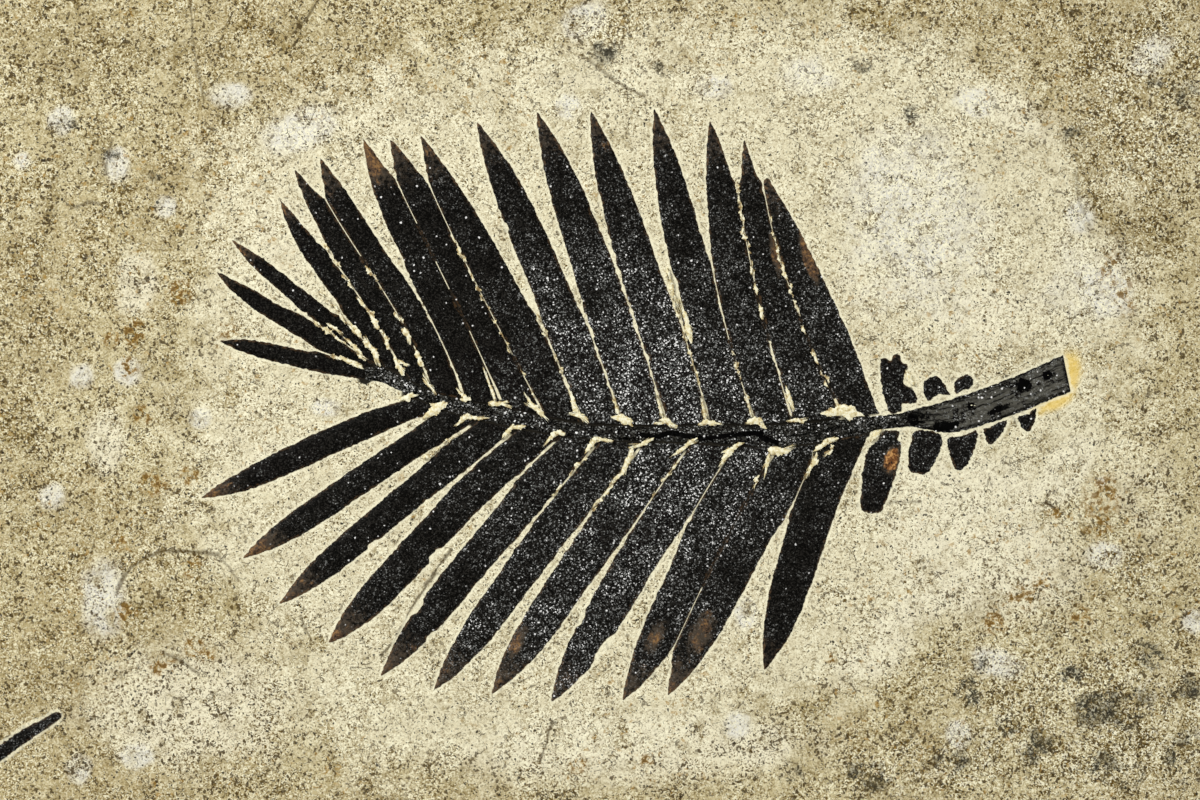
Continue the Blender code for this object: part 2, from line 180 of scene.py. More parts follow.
class NodeBench:
    """Lays and joins the shader nodes of one material, and keeps the colour built up so far."""

    def __init__(self, name: str) -> None:
        """Start an empty Principled material of that name."""
        self.material = bpy.data.materials.new(name)
        self.material.use_nodes = True
        self.tree = self.material.node_tree
        self.shader = self.tree.nodes["Principled BSDF"]
        self.colour: object = None

    def add(self, kind: str, **settings: object) -> Node:
        """Add one node.

        Args:
            kind: Blender's type name of the node.
            settings: Node settings by name.

        Returns:
            The new node.
        """
        node = self.tree.nodes.new(kind)
        for name, value in settings.items():
            setattr(node, name, value)
        return node

    def feed(self, socket: NodeSocket, value: object) -> None:
        """Link a socket to a reading or another socket, or set its number or colour."""
        value = value.socket if isinstance(value, Reading) else value
        if isinstance(value, NodeSocket):
            self.tree.links.new(value, socket)
        else:
            socket.default_value = value

    def plug(self, node: Node, **sockets: object) -> Node:
        """Feed a node's sockets.

        Args:
            node: The node.
            sockets: Values by the socket's name, with _ for a space.

        Returns:
            The same node.
        """
        for name, value in sockets.items():
            self.feed(node.inputs[name.replace("_", " ")], value)
        return node

    def step(self, value: object, low: object, high: object) -> Reading:
        """A smooth step from 0 at low to 1 at high.

        Args:
            value: Number or reading to step.
            low: Where the step starts.
            high: Where the step ends.

        Returns:
            The step.
        """
        node = self.add("ShaderNodeMapRange", interpolation_type="SMOOTHSTEP")
        for index, item in enumerate((value, low, high)):
            self.feed(node.inputs[index], item)
        return Reading(self, node.outputs[0])

    def mix(self, share: object, first: object, second: object) -> NodeSocket:
        """Blend two colours.

        Args:
            share: How much of the second colour shows.
            first: Colour or socket.
            second: Colour or socket.

        Returns:
            The mixed colour's socket.
        """
        node = self.add("ShaderNodeMix", data_type="RGBA")
        for index, value in ((0, share), (6, first), (7, second)):
            self.feed(node.inputs[index], value)
        return node.outputs[2]

    def coat(self, share: object, tint: object) -> None:
        """Lay a tint over the colour built up so far, as strongly as share says."""
        self.colour = self.mix(share, self.colour, tint)

    def millimetres(self) -> NodeSocket:
        """The point's own place on the object, in millimetres."""
        place = self.add("ShaderNodeTexCoord").outputs["Object"]
        node = self.add("ShaderNodeVectorMath", operation="SCALE")
        self.feed(node.inputs[0], place)
        return self.plug(node, Scale=1 / MM).outputs[0]

    def shifted(self, place: NodeSocket, shift: Sequence[float],
                stretch: Sequence[float] = (1.0, 1.0, 1.0)) -> NodeSocket:
        """Stretch a place, then move it.

        Args:
            place: Socket of the place.
            shift: Millimetres added.
            stretch: Factors along the three axes.

        Returns:
            The new place's socket.
        """
        node = self.add("ShaderNodeVectorMath", operation="MULTIPLY_ADD")
        for socket, value in zip(node.inputs, (place, stretch, shift)):
            self.feed(socket, value)
        return node.outputs[0]

    def noise(self, place: NodeSocket, grain: float, **settings: float) -> Node:
        """A noise node whose lumps are grain millimetres across."""
        node = self.add("ShaderNodeTexNoise", noise_dimensions="3D")
        return self.plug(node, Vector=place, Scale=1 / grain, **settings)

    def cloud(self, place: NodeSocket, grain: float, detail: float = 2.0,
              rough: float = 0.5, shift: float = 0.0) -> Reading:
        """Noise of about 0.2 to 0.8.

        Args:
            place: Socket of the place, in millimetres.
            grain: Size of the lumps in millimetres.
            detail: Further octaves.
            rough: Strength of each octave against the last.
            shift: Moves the pattern, so that two clouds differ.

        Returns:
            The noise.
        """
        if shift:
            place = self.shifted(place, (shift, -shift, 0.7 * shift))
        return Reading(self, self.noise(place, grain, Detail=detail, Roughness=rough).outputs[0])

    def cells(self, place: NodeSocket, size: float) -> tuple[Reading, Reading, Reading]:
        """Grains packed side by side.

        Args:
            place: Socket of the place, in millimetres.
            size: Size of a grain in millimetres.

        Returns:
            Distance from the grain's middle, and two numbers from 0 to 1 drawn for each grain.
        """
        node = self.plug(self.add("ShaderNodeTexVoronoi"), Vector=place, Scale=1 / size)
        lots = self.add("ShaderNodeSeparateColor")
        self.feed(lots.inputs[0], node.outputs["Color"])
        return (Reading(self, node.outputs["Distance"]), Reading(self, lots.outputs[0]),
                Reading(self, lots.outputs[1]))

    def dragged(self, place: NodeSocket, grain: float,
                reach: float) -> NodeSocket:
        """Drag a place about, so that grains read there are drawn out into strokes.

        Args:
            place: Socket of the place, in millimetres.
            grain: Size of the lumps in which the drag changes, in millimetres.
            reach: Furthest drag in millimetres.

        Returns:
            The new place's socket.
        """
        pull = self.noise(place, grain, Detail=1.0).outputs["Color"]
        return self.shifted(pull, place, (reach, reach, reach))

    def mask(self, name: str) -> Reading:
        """A number painted on the mesh."""
        node = self.add("ShaderNodeAttribute", attribute_name=name)
        return Reading(self, node.outputs["Fac"])

    def cracks(self, place: NodeSocket, cell: float, width: float) -> Reading:
        """Net of fine cracks.

        Args:
            place: Socket of the place, in millimetres.
            cell: Size of the blocks between cracks, in millimetres.
            width: Share of a block that a crack takes.

        Returns:
            1 in a crack and 0 beside it.
        """
        node = self.add("ShaderNodeTexVoronoi", feature="DISTANCE_TO_EDGE")
        self.plug(node, Vector=place, Scale=1 / cell)
        return self.step(node.outputs["Distance"], width, 0.0)

    def bump(self, height: object, depth: float, strength: float) -> NodeSocket:
        """Turn a height into a normal.

        Args:
            height: The height, about 0 to 1.
            depth: Millimetres that a height of 1 stands for.
            strength: Share of the effect.

        Returns:
            The normal's socket.
        """
        node = self.add("ShaderNodeBump")
        return self.plug(node, Strength=strength, Distance=depth * MM, Height=height).outputs[0]

    def finish(self, **sockets: object) -> Material:
        """Join the colour and the shader's other sockets and hand the material over.

        Args:
            sockets: Values by the socket's name, with _ for a space.

        Returns:
            The finished material.
        """
        self.plug(self.shader, Base_Color=self.colour, **sockets)
        return self.material


class StoneFace(Enum):
    """The ways in which the limestone's faces were made."""

    SPLIT = "split face"
    BROKEN = "broken side"
    SAWN = "sawn underside"


class Tint(Enum):
    """Marks painted over the split face, named as on the mesh."""

    COOL = "cool"
    CREAM = "cream"
    BROWN = "brown"
    GREY = "grey"
    RUST = "rust"
    YELLOW = "yellow"
    FLAKED = "flaked"


@dataclass(frozen=True)
class Limestone:
    """Pale, granular limestone: cream and olive grains, dark specks and stains."""

    beige: tuple = srgb(189, 172, 125)
    cream: tuple = srgb(208, 194, 148)
    olive: tuple = srgb(160, 143, 96)
    warm: tuple = srgb(234, 225, 190)
    chalk: tuple = srgb(246, 238, 207)
    cool: tuple = srgb(236, 234, 221)
    pale_grain: tuple = srgb(255, 249, 214)
    dark_grain: tuple = srgb(97, 74, 14)
    smudge: tuple = srgb(152, 134, 84)
    bloom: tuple = srgb(232, 221, 180)
    flake: tuple = srgb(238, 232, 206)
    dirt_and_shadow: tuple = srgb(68, 51, 12)
    speck: tuple = srgb(26, 21, 8)
    grey: tuple = srgb(47, 44, 30)
    rust: tuple = srgb(174, 134, 52)
    dark_rust: tuple = srgb(98, 70, 24)
    yellow: tuple = srgb(245, 210, 104)
    roughness: float = 0.88
    grain_depth: float = 0.22
    bedding: tuple = (0.3, 0.3, 2.6)
    saw_centre: tuple = (-420.0, -160.0, 0.0)
    sawn_calm: float = 0.45

    def make(self, face: StoneFace) -> Material:
        """Build the material for one kind of face.

        Args:
            face: How that face was made.

        Returns:
            The material.
        """
        bench = NodeBench(f"limestone {face.value}")
        place = bench.millimetres()
        broken = face is StoneFace.BROKEN
        beds = bench.shifted(place, NOWHERE, self.bedding) if broken else place
        broad = bench.cloud(beds, 34.0, 4.0, 0.6)
        middle = bench.cloud(beds, 8.0, 5.0, 0.62, 13.0)
        bench.colour = bench.mix(bench.step(broad + middle * 0.5, 0.64, 0.86), self.beige,
                                 self.cream)
        olive = bench.step(bench.cloud(beds, 15.0, 5.0, 0.66, 41.0), 0.52, 0.7)
        grains = bench.cloud(place, 0.7, 3.0, 0.66)
        clumps = bench.cloud(place, 4.6, 4.0, 0.66, 57.0)
        dark_bias, outer, shares = (clumps - 0.5) * 0.5, 1.0, {}
        if face is StoneFace.SPLIT:
            dark_bias, outer, shares = self.stained(bench, olive, middle, clumps)
        else:
            bench.coat(olive * 0.6, self.olive)
        calm = self.sawn_calm if face is StoneFace.SAWN else 1.0
        drawn = bench.dragged(place, 1.3, 0.8)
        _, fine, spare = bench.cells(drawn, 0.24)
        away, coarse, lot = bench.cells(drawn, 0.5)
        mottle = bench.cloud(beds, 2.5, 5.0, 0.66, 37.0)
        bench.coat(bench.step(mottle, 0.5, 0.7) * (0.55 * calm), self.smudge)
        bench.coat(bench.step(mottle, 0.49, 0.31) * (0.5 * calm), self.bloom)
        veins = abs(bench.cloud(place, 3.0, 5.0, 0.7, 17.0) - 0.5)
        veins = bench.step(veins, 0.035, 0.006) * bench.step(mottle, 0.4, 0.56)
        bench.coat(veins * (0.5 * calm), self.smudge)
        flaked = shares.get(Tint.FLAKED, 0.0)
        vigour = bench.step(bench.cloud(place, 7.0, 4.0, 0.6, 101.0), 0.3, 0.62)
        vigour = vigour * (0.6 * calm) + 0.4 * calm + flaked * 0.4
        flakes = bench.cloud(place, 1.5, 5.0, 0.75, 203.0) + fine * 0.08
        bench.coat(bench.step(flakes, 0.58, 0.66) * flaked * 0.7, self.flake)
        bench.coat(bench.step(flakes, 0.48, 0.4) * flaked * 0.6, self.dirt_and_shadow)
        level = fine * 0.75 + grains * 0.85 - dark_bias * 0.6
        light = bench.step(level, 0.866, 1.086) * vigour
        bench.coat(light * (1.08 - outer * 0.3), self.pale_grain)
        bench.coat(bench.step(level, 0.69, 0.44) * vigour, self.dark_grain)
        foul = bench.step(clumps + dark_bias, 0.42, 0.72)
        dots = bench.step(lot - (0.965 - foul * (0.17 * calm)), 0.0, 0.03)
        bench.coat(dots * (outer * 0.3 + 0.58), self.dirt_and_shadow)
        dots = bench.step(spare + foul * 0.05, 0.957, 0.975) * bench.step(coarse, 0.2, 0.4)
        bench.coat(dots * 0.93, self.speck)
        dots = bench.step(lot, 0.012, 0.008) * bench.step(away, 0.6, 0.4)
        bench.coat(dots * 0.9, self.speck)
        dashes = abs(bench.cloud(place, 3.2, 2.0, 0.5, 91.0) - 0.5)
        shown = bench.step(bench.cloud(place, 2.4, 1.0, 0.5, 65.0), 0.55, 0.6)
        dashes = bench.step(dashes, 0.014, 0.005) * shown
        bench.coat(dashes * 0.7, self.dirt_and_shadow)
        if face is StoneFace.SPLIT:
            self.spotted(bench, place, shares, fine)
            self.lined(bench, place)
        height = grains * 1.1 + fine * 0.14 + clumps * 0.8 - dashes * 0.4
        if face is StoneFace.SAWN:
            wave = bench.add("ShaderNodeTexWave", wave_type="RINGS", rings_direction="Z")
            bench.plug(wave, Vector=bench.shifted(place, self.saw_centre), Scale=0.045,
                       Distortion=2.0, Detail=3.0)
            marks = Reading(bench, wave.outputs["Fac"]) * 0.5
            height = height * 0.4 + marks
            bench.coat(marks * 0.3, self.olive)
        gloss = self.roughness + 0.08 - grains * 0.18
        return bench.finish(Roughness=gloss, IOR=1.45, Specular_IOR_Level=0.35,
                            Normal=bench.bump(height, self.grain_depth, 0.9))

    def stained(self, bench: NodeBench, olive: Reading, middle: Reading,
                clumps: Reading) -> tuple[Reading, Reading, dict]:
        """Cloud the split face's ground colour.

        Args:
            bench: Where the nodes are laid.
            olive: Share of the olive clouding.
            middle: Noise of middling grain, which breaks up the stains' edges.
            clumps: Noise of clumped grain.

        Returns:
            How far the grain leans towards dark, how far outside the pale halo the point lies
            (0 to 1), and each tint's share.
        """
        ragged = (middle - 0.5) * 2.0 + (clumps - 0.5) * 1.6
        outer = bench.step(bench.mask("halo") + ragged * 15.0, -8.0, 9.0)
        bench.coat((1.0 - outer) * 0.82, self.warm)
        bench.coat(olive * (outer * 0.5), self.olive)
        shares = {}
        for tint in Tint:
            cover = bench.mask(tint.value)
            shares[tint] = (bench.step(cover + ragged * 0.6, 0.16, 0.86)
                            * bench.step(cover, 0.02, 0.2))
        shares[Tint.YELLOW] = bench.step(bench.mask(Tint.YELLOW.value) + ragged * 0.3, 0.04, 0.9)
        bench.coat(shares[Tint.BROWN] * 0.5, self.olive)
        bench.coat(shares[Tint.CREAM] * 0.8, self.chalk)
        bench.coat(shares[Tint.COOL] * 0.85, self.cool)
        bench.coat(bench.step(clumps, 0.52, 0.64) * shares[Tint.COOL] * 0.55, self.smudge)
        bench.coat(bench.step(middle, 0.53, 0.66) * 0.4, self.smudge)
        bias = (clumps - 0.5) * 0.5
        for tint, push in ((Tint.COOL, -0.1), (Tint.CREAM, -0.04), (Tint.BROWN, 0.045),
                           (Tint.GREY, 0.06), (Tint.RUST, 0.04)):
            bias += shares[tint] * push
        bias += (outer - 0.66) * 0.1
        return bias, outer, shares

    def spotted(self, bench: NodeBench, place: NodeSocket, shares: dict,
                fine: Reading) -> None:
        """Stain the grains themselves: rust, soot-grey dirt and the yellow round the stalk.

        Args:
            bench: Where the nodes are laid.
            place: The place in millimetres.
            shares: Each tint's share.
            fine: A number drawn for each fine grain.
        """
        flecks = bench.cloud(place, 1.3, 3.0, 0.65, 88.0)
        bench.coat(shares[Tint.RUST] * bench.step(flecks, 0.47, 0.58) * 0.8, self.rust)
        bench.coat(shares[Tint.RUST] * bench.step(flecks, 0.545, 0.6) * 0.85, self.dark_rust)
        ochre = bench.step(bench.cloud(place, 1.2, 2.0, 0.5, 31.0), 0.63, 0.7)
        region = bench.step(bench.cloud(place, 22.0, 2.0, 0.5, 3.0), 0.44, 0.6)
        bench.coat(ochre * region * 0.55, self.rust)
        dusty = bench.cloud(place, 2.0, 5.0, 0.75, 19.0) - fine * 0.16
        broken = bench.step(bench.cloud(place, 4.2, 5.0, 0.72, 171.0), 0.455, 0.53)
        soiled = shares[Tint.GREY] * broken
        bench.coat(soiled * 0.5, self.grey)
        bench.coat(soiled * bench.step(dusty, 0.42, 0.47) * 0.85, self.grey)
        bench.coat(shares[Tint.GREY] * bench.step(dusty, 0.5, 0.54) * 0.6, self.grey)
        bench.coat(shares[Tint.YELLOW] * 0.78, self.yellow)

    def lined(self, bench: NodeBench, place: NodeSocket) -> None:
        """Draw the hairlines (cracks, and painted shadow along ledge steps), the soot in the tight
        seams and the bright rim beside the film.

        Args:
            bench: Where the nodes are laid.
            place: The place in millimetres.
        """
        sway = bench.cloud(place, 2.4, 3.0, 0.6, 5.0) - 0.5
        off = abs(bench.mask("line_side") + sway * 1.1)
        width = bench.cloud(place, 3.1, 2.0, 0.5, 9.0) * 1.8 - 0.34
        line = bench.step(off, width, 0.05) * bench.mask("line_share")
        # Painted shadow: the dark hairline stands partly for cracks and partly for the shade along
        # ledge steps, such as the arc at the lower left.
        bench.coat(line * 0.95, self.dirt_and_shadow)
        rim = bench.step(bench.mask("leaf_distance") + sway * 1.6, 0.8, 0.3)
        bench.coat(rim * 0.62, self.pale_grain)
        bench.coat(bench.step(bench.mask("soot") + sway * 1.2, 0.35, 0.6), self.speck)
        bench.coat(bench.step(bench.mask("midrib_seam") + sway * 1.4, 2.3, 1.7), self.speck)


@dataclass(frozen=True)
class CrumbStone:
    """Bright matrix left in the axils, rimmed with ochre where it thins."""

    body: tuple = srgb(226, 212, 160)
    pale: tuple = srgb(253, 248, 216)
    ochre: tuple = srgb(136, 106, 56)
    roughness: float = 0.85

    def make(self) -> Material:
        """Build the material."""
        bench = NodeBench("limestone crumbs")
        place = bench.millimetres()
        grains = bench.cloud(place, 0.8, 3.0, 0.62)
        _, lot, _ = bench.cells(place, 0.34)
        level = grains + (lot - 0.5) * 0.3
        bench.colour = bench.mix(bench.step(level, 0.4, 0.64), self.body, self.pale)
        thin = bench.mask("edge") + (grains - 0.5) * 0.7
        bench.coat(bench.step(thin, 0.14, -0.02) * 0.8, self.ochre)
        bench.coat(bench.step(level, 0.34, 0.26) * 0.7, self.ochre)
        return bench.finish(Roughness=self.roughness, Specular_IOR_Level=0.3,
                            Normal=bench.bump(grains, 0.2, 0.8))


@dataclass(frozen=True)
class CarbonFilm:
    """Coaly leaf film: near black, peppered with painted grey glints that stand for its sparkle
    (partly pale grains), browned where it is thin.
    """

    name: str
    black: tuple = srgb(6, 5, 3)
    ground: tuple = srgb(37, 35, 31)
    glint: tuple = srgb(119, 120, 116)
    spark: tuple = srgb(250, 249, 244)
    faded: tuple = srgb(92, 81, 67)
    brown: tuple = srgb(90, 68, 50)
    tan: tuple = srgb(154, 116, 70)
    rim: tuple = srgb(112, 86, 58)
    weathered: tuple = srgb(92, 90, 80)
    rim_share: float = 0.9
    streak_share: float = 0.12
    glint_size: float = 0.21
    spark_bar: float = 0.945
    roughness: float = 0.5
    crack_cell: float = 0.0

    def make(self) -> Material:
        """Build the material."""
        bench = NodeBench(self.name)
        place = bench.millimetres()
        _, lot, _ = bench.cells(place, self.glint_size)
        away, rare, _ = bench.cells(place, 0.62)
        grit = bench.cloud(place, 0.7, 3.0, 0.7, 12.0)
        clouds = bench.cloud(place, 3.4, 4.0, 0.65, 44.0)
        wide = bench.cloud(place, 9.0, 2.0, 0.5, 77.0)
        brown, edge = bench.mask("brown"), bench.mask("edge")
        lean = bench.mask("glint") * 0.55 - 0.36
        drift = (clouds - 0.5) * 0.45 + (wide - 0.5) * 0.3 + (grit - 0.5) * 0.2
        streaks = self.streaks(bench)
        level = lot + lean + (drift + (streaks - 0.5) * self.streak_share)
        bench.colour = bench.mix(bench.step(level, 0.2, 0.7), self.black, self.ground)
        # Painted highlights: grey glints and white sparks laid into the colour stand for the film's
        # sparkle, partly pale mineral grains.
        bench.coat(bench.step(level, 0.72, 0.93), self.glint)
        bench.coat(bench.step(level, 0.93, 1.03), self.spark)
        sparks = bench.step(rare + lean * 0.12, self.spark_bar, self.spark_bar + 0.02)
        sparks *= bench.step(away + (grit - 0.5) * 1.1, 0.34, 0.14)
        bench.coat(sparks * 0.9, self.spark)
        faded = bench.step(brown + grit * 1.5, 0.92, 1.4) * bench.step(brown, 0.02, 0.3)
        bench.coat(faded * 0.6, self.faded)
        thin = brown + (clouds - 0.5) * 1.6 + (streaks - 0.5) * 0.7
        rusted = bench.mix(bench.step(grit, 0.49, 0.63), self.brown, self.tan)
        rusted = bench.mix(bench.step(grit, 0.46, 0.36), rusted, self.black)
        bench.coat(bench.step(thin, 0.44, 0.76) * 0.8, rusted)
        rim = bench.step(edge + (clouds - 0.5) * 2.0, 0.34, 0.04) * bench.step(grit, 0.4, 0.6)
        bench.coat(rim * (brown + 0.4) * self.rim_share, self.rim)
        height = grit * 1.2 + streaks * 0.35 + clouds * 0.5
        if self.crack_cell:
            bared, parted = bench.mask("bared"), bench.mask("split")
            split = bench.cracks(bench.shifted(place, NOWHERE, (1.0, 1.3, 1.0)), self.crack_cell,
                                 0.035)
            bench.coat(split * 0.85, self.black)
            weathered = bench.mix(bench.step(streaks, 0.33, 0.56), self.black, self.weathered)
            weathered = bench.mix(bench.step(grit, 0.56, 0.68), weathered, self.glint)
            kept = bench.cloud(place, 2.8, 4.0, 0.66, 151.0) + bared * 0.12
            body = bench.step(bared, 0.0, 0.3) * bench.step(kept, 0.52, 0.57)
            body *= bench.step(edge + grit * 0.8, 0.75, 1.25)
            bench.coat(body * 0.8, weathered)
            torn = (grit - 0.5) * 2.6 + (clouds - 0.5) * 1.2
            torn = bench.step(parted + torn, 0.3, 0.5) * bench.step(parted, 0.0, 0.1)
            bench.coat(torn, self.black)
            # Painted highlights: the white sparks laid again over the midrib's dark patches.
            bench.coat(sparks * 0.9, self.spark)
            height -= split * 0.8
        gloss = clouds * 0.5 + (self.roughness - 0.25)
        return bench.finish(Roughness=gloss, IOR=1.6, Specular_IOR_Level=0.03,
                            Normal=bench.bump(height, 0.12, 0.7))

    def streaks(self, bench: NodeBench) -> Reading:
        """Fine lines along the film, read from its own map."""
        node = bench.add("ShaderNodeUVMap", uv_map="film")
        place = bench.shifted(node.outputs[0], NOWHERE, (1.0, 0.09, 1.0))
        return bench.cloud(place, 0.42, 2.0, 0.6, 6.0)


@dataclass(frozen=True)
class Plaster:
    """The floor's plain pale paint."""

    paint: tuple = srgb(226, 224, 219)

    def make(self) -> Material:
        """Build the material."""
        bench = NodeBench("studio floor")
        bench.colour = self.paint
        return bench.finish(Roughness=0.9)


# --------------------------------------------------------------------------------- geometry


class Line:
    """A smooth line through points, read by its share of length."""

    def __init__(self, points: Sequence[Sequence[float]], closed: bool = False,
                 fineness: int = 8) -> None:
        """Walk a Catmull-Rom curve through the points.

        Args:
            points: Corners, in millimetres.
            closed: Whether the last corner joins the first.
            fineness: Steps between two corners.
        """
        corners = [np.array(point[:2], float) for point in points]
        count, last = len(corners), len(corners) - 1
        walk = []
        for index in range(count if closed else last):
            before, start, end, after = (
                corners[(index + k) % count if closed else min(max(index + k, 0), last)]
                for k in (-1, 0, 1, 2))
            for step in range(fineness):
                t = step / fineness
                walk.append(0.5 * (2 * start + (end - before) * t
                                   + (2 * before - 5 * start + 4 * end - after) * t**2
                                   + (3 * start - before - 3 * end + after) * t**3))
        walk.append(corners[0] if closed else corners[-1])
        self.walk = np.array(walk)
        hops = np.linalg.norm(np.diff(self.walk, axis=0), axis=1)
        self.marks = np.concatenate([[0.0], np.cumsum(hops)])
        self.length = float(self.marks[-1])

    def at(self, shares: np.ndarray) -> np.ndarray:
        """Points at those shares of the length.

        Args:
            shares: Numbers from 0 to 1.

        Returns:
            One row of x and y for each share.
        """
        marks = np.asarray(shares) * self.length
        return np.stack([np.interp(marks, self.marks, self.walk[:, axis]) for axis in (0, 1)], -1)

    def spaced(self, gap: float, least: int = 2) -> np.ndarray:
        """Points gap millimetres apart along the whole line, but no fewer than least."""
        return self.at(np.linspace(0, 1, max(int(self.length / gap), least)))


def outline_of(node: Object) -> list[Vector]:
    """Walk once round the flat underside of a film solid.

    Args:
        node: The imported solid, which stays as it is.

    Returns:
        The corners in millimetres, anticlockwise from above.
    """
    copy = bmesh.new()
    copy.from_mesh(node.data)
    bmesh.ops.remove_doubles(copy, verts=copy.verts, dist=1e-6)
    lowest = min(vertex.co.z for vertex in copy.verts)
    under = {face for face in copy.faces
             if all(vertex.co.z < lowest + 1e-5 for vertex in face.verts)}
    border = {}
    for face in under:
        for loop in face.loops:
            if sum(other in under for other in loop.edge.link_faces) == 1:
                border[loop.vert] = loop.link_loop_next.vert
    start = min(border, key=lambda vertex: (vertex.co.x, vertex.co.y))
    walk, here = [start], border[start]
    while here is not start:
        walk.append(here)
        here = border[here]
    corners = [Vector((vertex.co.x, vertex.co.y, 0.0)) / MM for vertex in reversed(walk)]
    copy.free()
    return corners


def to_mesh(builder: BMesh, name: str) -> Mesh:
    """Turn a bmesh, which is used up, into a mesh of that name."""
    mesh = bpy.data.meshes.new(name)
    builder.to_mesh(mesh)
    builder.free()
    return mesh


def into_scene(name: str, data: ID) -> Object:
    """Make an object of that name from its data and put it into the scene."""
    made = bpy.data.objects.new(name, data)
    bpy.context.scene.collection.objects.link(made)
    return made


def plan_of(builder: BMesh) -> np.ndarray:
    """The x and y of every vertex, one row each."""
    return np.array([vertex.co[:2] for vertex in builder.verts])


def finish_piece(builder: BMesh, name: str, materials: Sequence[Material],
                 sharp: float = 50.0) -> Object:
    """Turn a bmesh held in millimetres into an object in metres that rides on the slab.

    Args:
        builder: The finished shape, which is used up.
        name: The object's name.
        materials: Its finishes, in slot order.
        sharp: Angle in degrees over which an edge stays crisp.

    Returns:
        The object.
    """
    bmesh.ops.scale(builder, vec=(MM, MM, MM), verts=builder.verts)
    mesh = to_mesh(builder, name)
    mesh.shade_smooth()
    mesh.set_sharp_from_angle(angle=math.radians(sharp))
    for material in materials:
        mesh.materials.append(material)
    piece = into_scene(name, mesh)
    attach(piece, "root")
    LOG.info("%s: %d faces", name, len(mesh.polygons))
    return piece


def places(mesh: Mesh) -> np.ndarray:
    """Every vertex of a mesh, in millimetres, one row each."""
    flat = np.empty(len(mesh.vertices) * 3, np.float32)
    mesh.vertices.foreach_get("co", flat)
    return flat.reshape(-1, 3).astype(float) / MM


def paint(mesh: Mesh, name: str, values: np.ndarray) -> None:
    """Write one number per vertex under that name."""
    layer = mesh.attributes.new(name, "FLOAT", "POINT")
    layer.data.foreach_set("value", values.astype(np.float32))


def border_edges(builder: BMesh) -> list[BMEdge]:
    """The edges that have a face on one side only."""
    return [edge for edge in builder.edges if len(edge.link_faces) == 1]


def add_walls(builder: BMesh, depth: float) -> None:
    """Close a sheet with walls down to a level and a flat underside.

    Args:
        builder: An open sheet, in millimetres.
        depth: Level of the underside.
    """
    wall = bmesh.ops.extrude_edge_only(builder, edges=border_edges(builder))["geom"]
    for part in wall:
        if isinstance(part, BMVert):
            part.co.z = depth
    bmesh.ops.contextual_create(builder, geom=border_edges(builder))
    bmesh.ops.recalc_face_normals(builder, faces=builder.faces)


def nearest(points: np.ndarray, others: Sequence[Sequence[float]]) -> np.ndarray:
    """Distance from each point to the nearest of some others, in plan.

    Args:
        points: One row of x, y and maybe more for each point.
        others: The x and y of the others.

    Returns:
        The distances.
    """
    tree = kdtree.KDTree(len(others))
    for index, other in enumerate(others):
        tree.insert((other[0], other[1], 0.0), index)
    tree.balance()
    return np.array([tree.find((x, y, 0.0))[2] for x, y in points[:, :2]])


def within(points: np.ndarray, outline: Sequence[Sequence[float]]) -> np.ndarray:
    """Which points lie inside an outline, in plan.

    Args:
        points: One row for each point.
        outline: The corners in order.

    Returns:
        One truth value per point.
    """
    ring = np.array([corner[:2] for corner in outline])
    inside = np.zeros(len(points), bool)
    close = np.all((points[:, :2] > ring.min(0)) & (points[:, :2] < ring.max(0)), axis=1)
    x, y = points[close, 0], points[close, 1]
    odd = np.zeros(len(x), bool)
    for (ax, ay), (bx, by) in zip(ring, np.roll(ring, -1, axis=0)):
        if ay != by:
            crossing = (ay > y) != (by > y)
            odd ^= crossing & (x < (bx - ax) * (y - ay) / (by - ay) + ax)
    inside[close] = odd
    return inside


@dataclass(frozen=True)
class Mark:
    """A soft-edged oval on the slab's face or on the film, in millimetres."""

    x: float
    y: float
    across: float
    along: float = 0.0
    turn: float = 0.0
    strength: float = 1.0

    def over(self, points: np.ndarray) -> np.ndarray:
        """How strongly the mark covers each point.

        Args:
            points: One row for each point, x and y first.

        Returns:
            Numbers from 0 to the mark's strength.
        """
        angle = math.radians(self.turn)
        reach = points[:, :2] - (self.x, self.y)
        u = reach @ (math.cos(angle), math.sin(angle)) / self.across
        v = reach @ (-math.sin(angle), math.cos(angle)) / (self.along or self.across)
        return self.strength * ease(np.hypot(u, v), 1.25, 0.25)


def marks(*rows: Sequence[float]) -> tuple[Mark, ...]:
    """One mark for each row of numbers."""
    return tuple(Mark(*row) for row in rows)


@dataclass(frozen=True)
class Hairline:
    """A fine dark line across the slab's face, through a few points: a crack, or the painted shadow
    along a ledge step.
    """

    points: Sequence[Sequence[float]]
    strength: float = 1.0
    reach: float = 2.0
    overlap: float = 0.6

    def beside(self, points: np.ndarray) -> tuple[np.ndarray, np.ndarray]:
        """Where each point lies against the line.

        Args:
            points: One row for each point, x and y first.

        Returns:
            The signed distance to the line, and how much of the line shows there.
        """
        side = np.full(len(points), FAR)
        share = np.zeros(len(points))
        walk = Line([Vector(point) for point in self.points]).walk
        for start, end in zip(walk, walk[1:]):
            chord = end - start
            length = float(np.linalg.norm(chord)) or 1e-6
            way = chord / length
            offset = points[:, :2] - start
            along = offset @ way
            across = offset @ np.array((-way[1], way[0]))
            close = (along > -self.overlap) & (along < length + self.overlap)
            close &= np.abs(across) < self.reach
            better = close & (np.abs(across) < np.abs(side))
            side[better] = across[better]
            share[better] = self.strength
        return side, share


# ----------------------------------------------------------------------------------- pieces


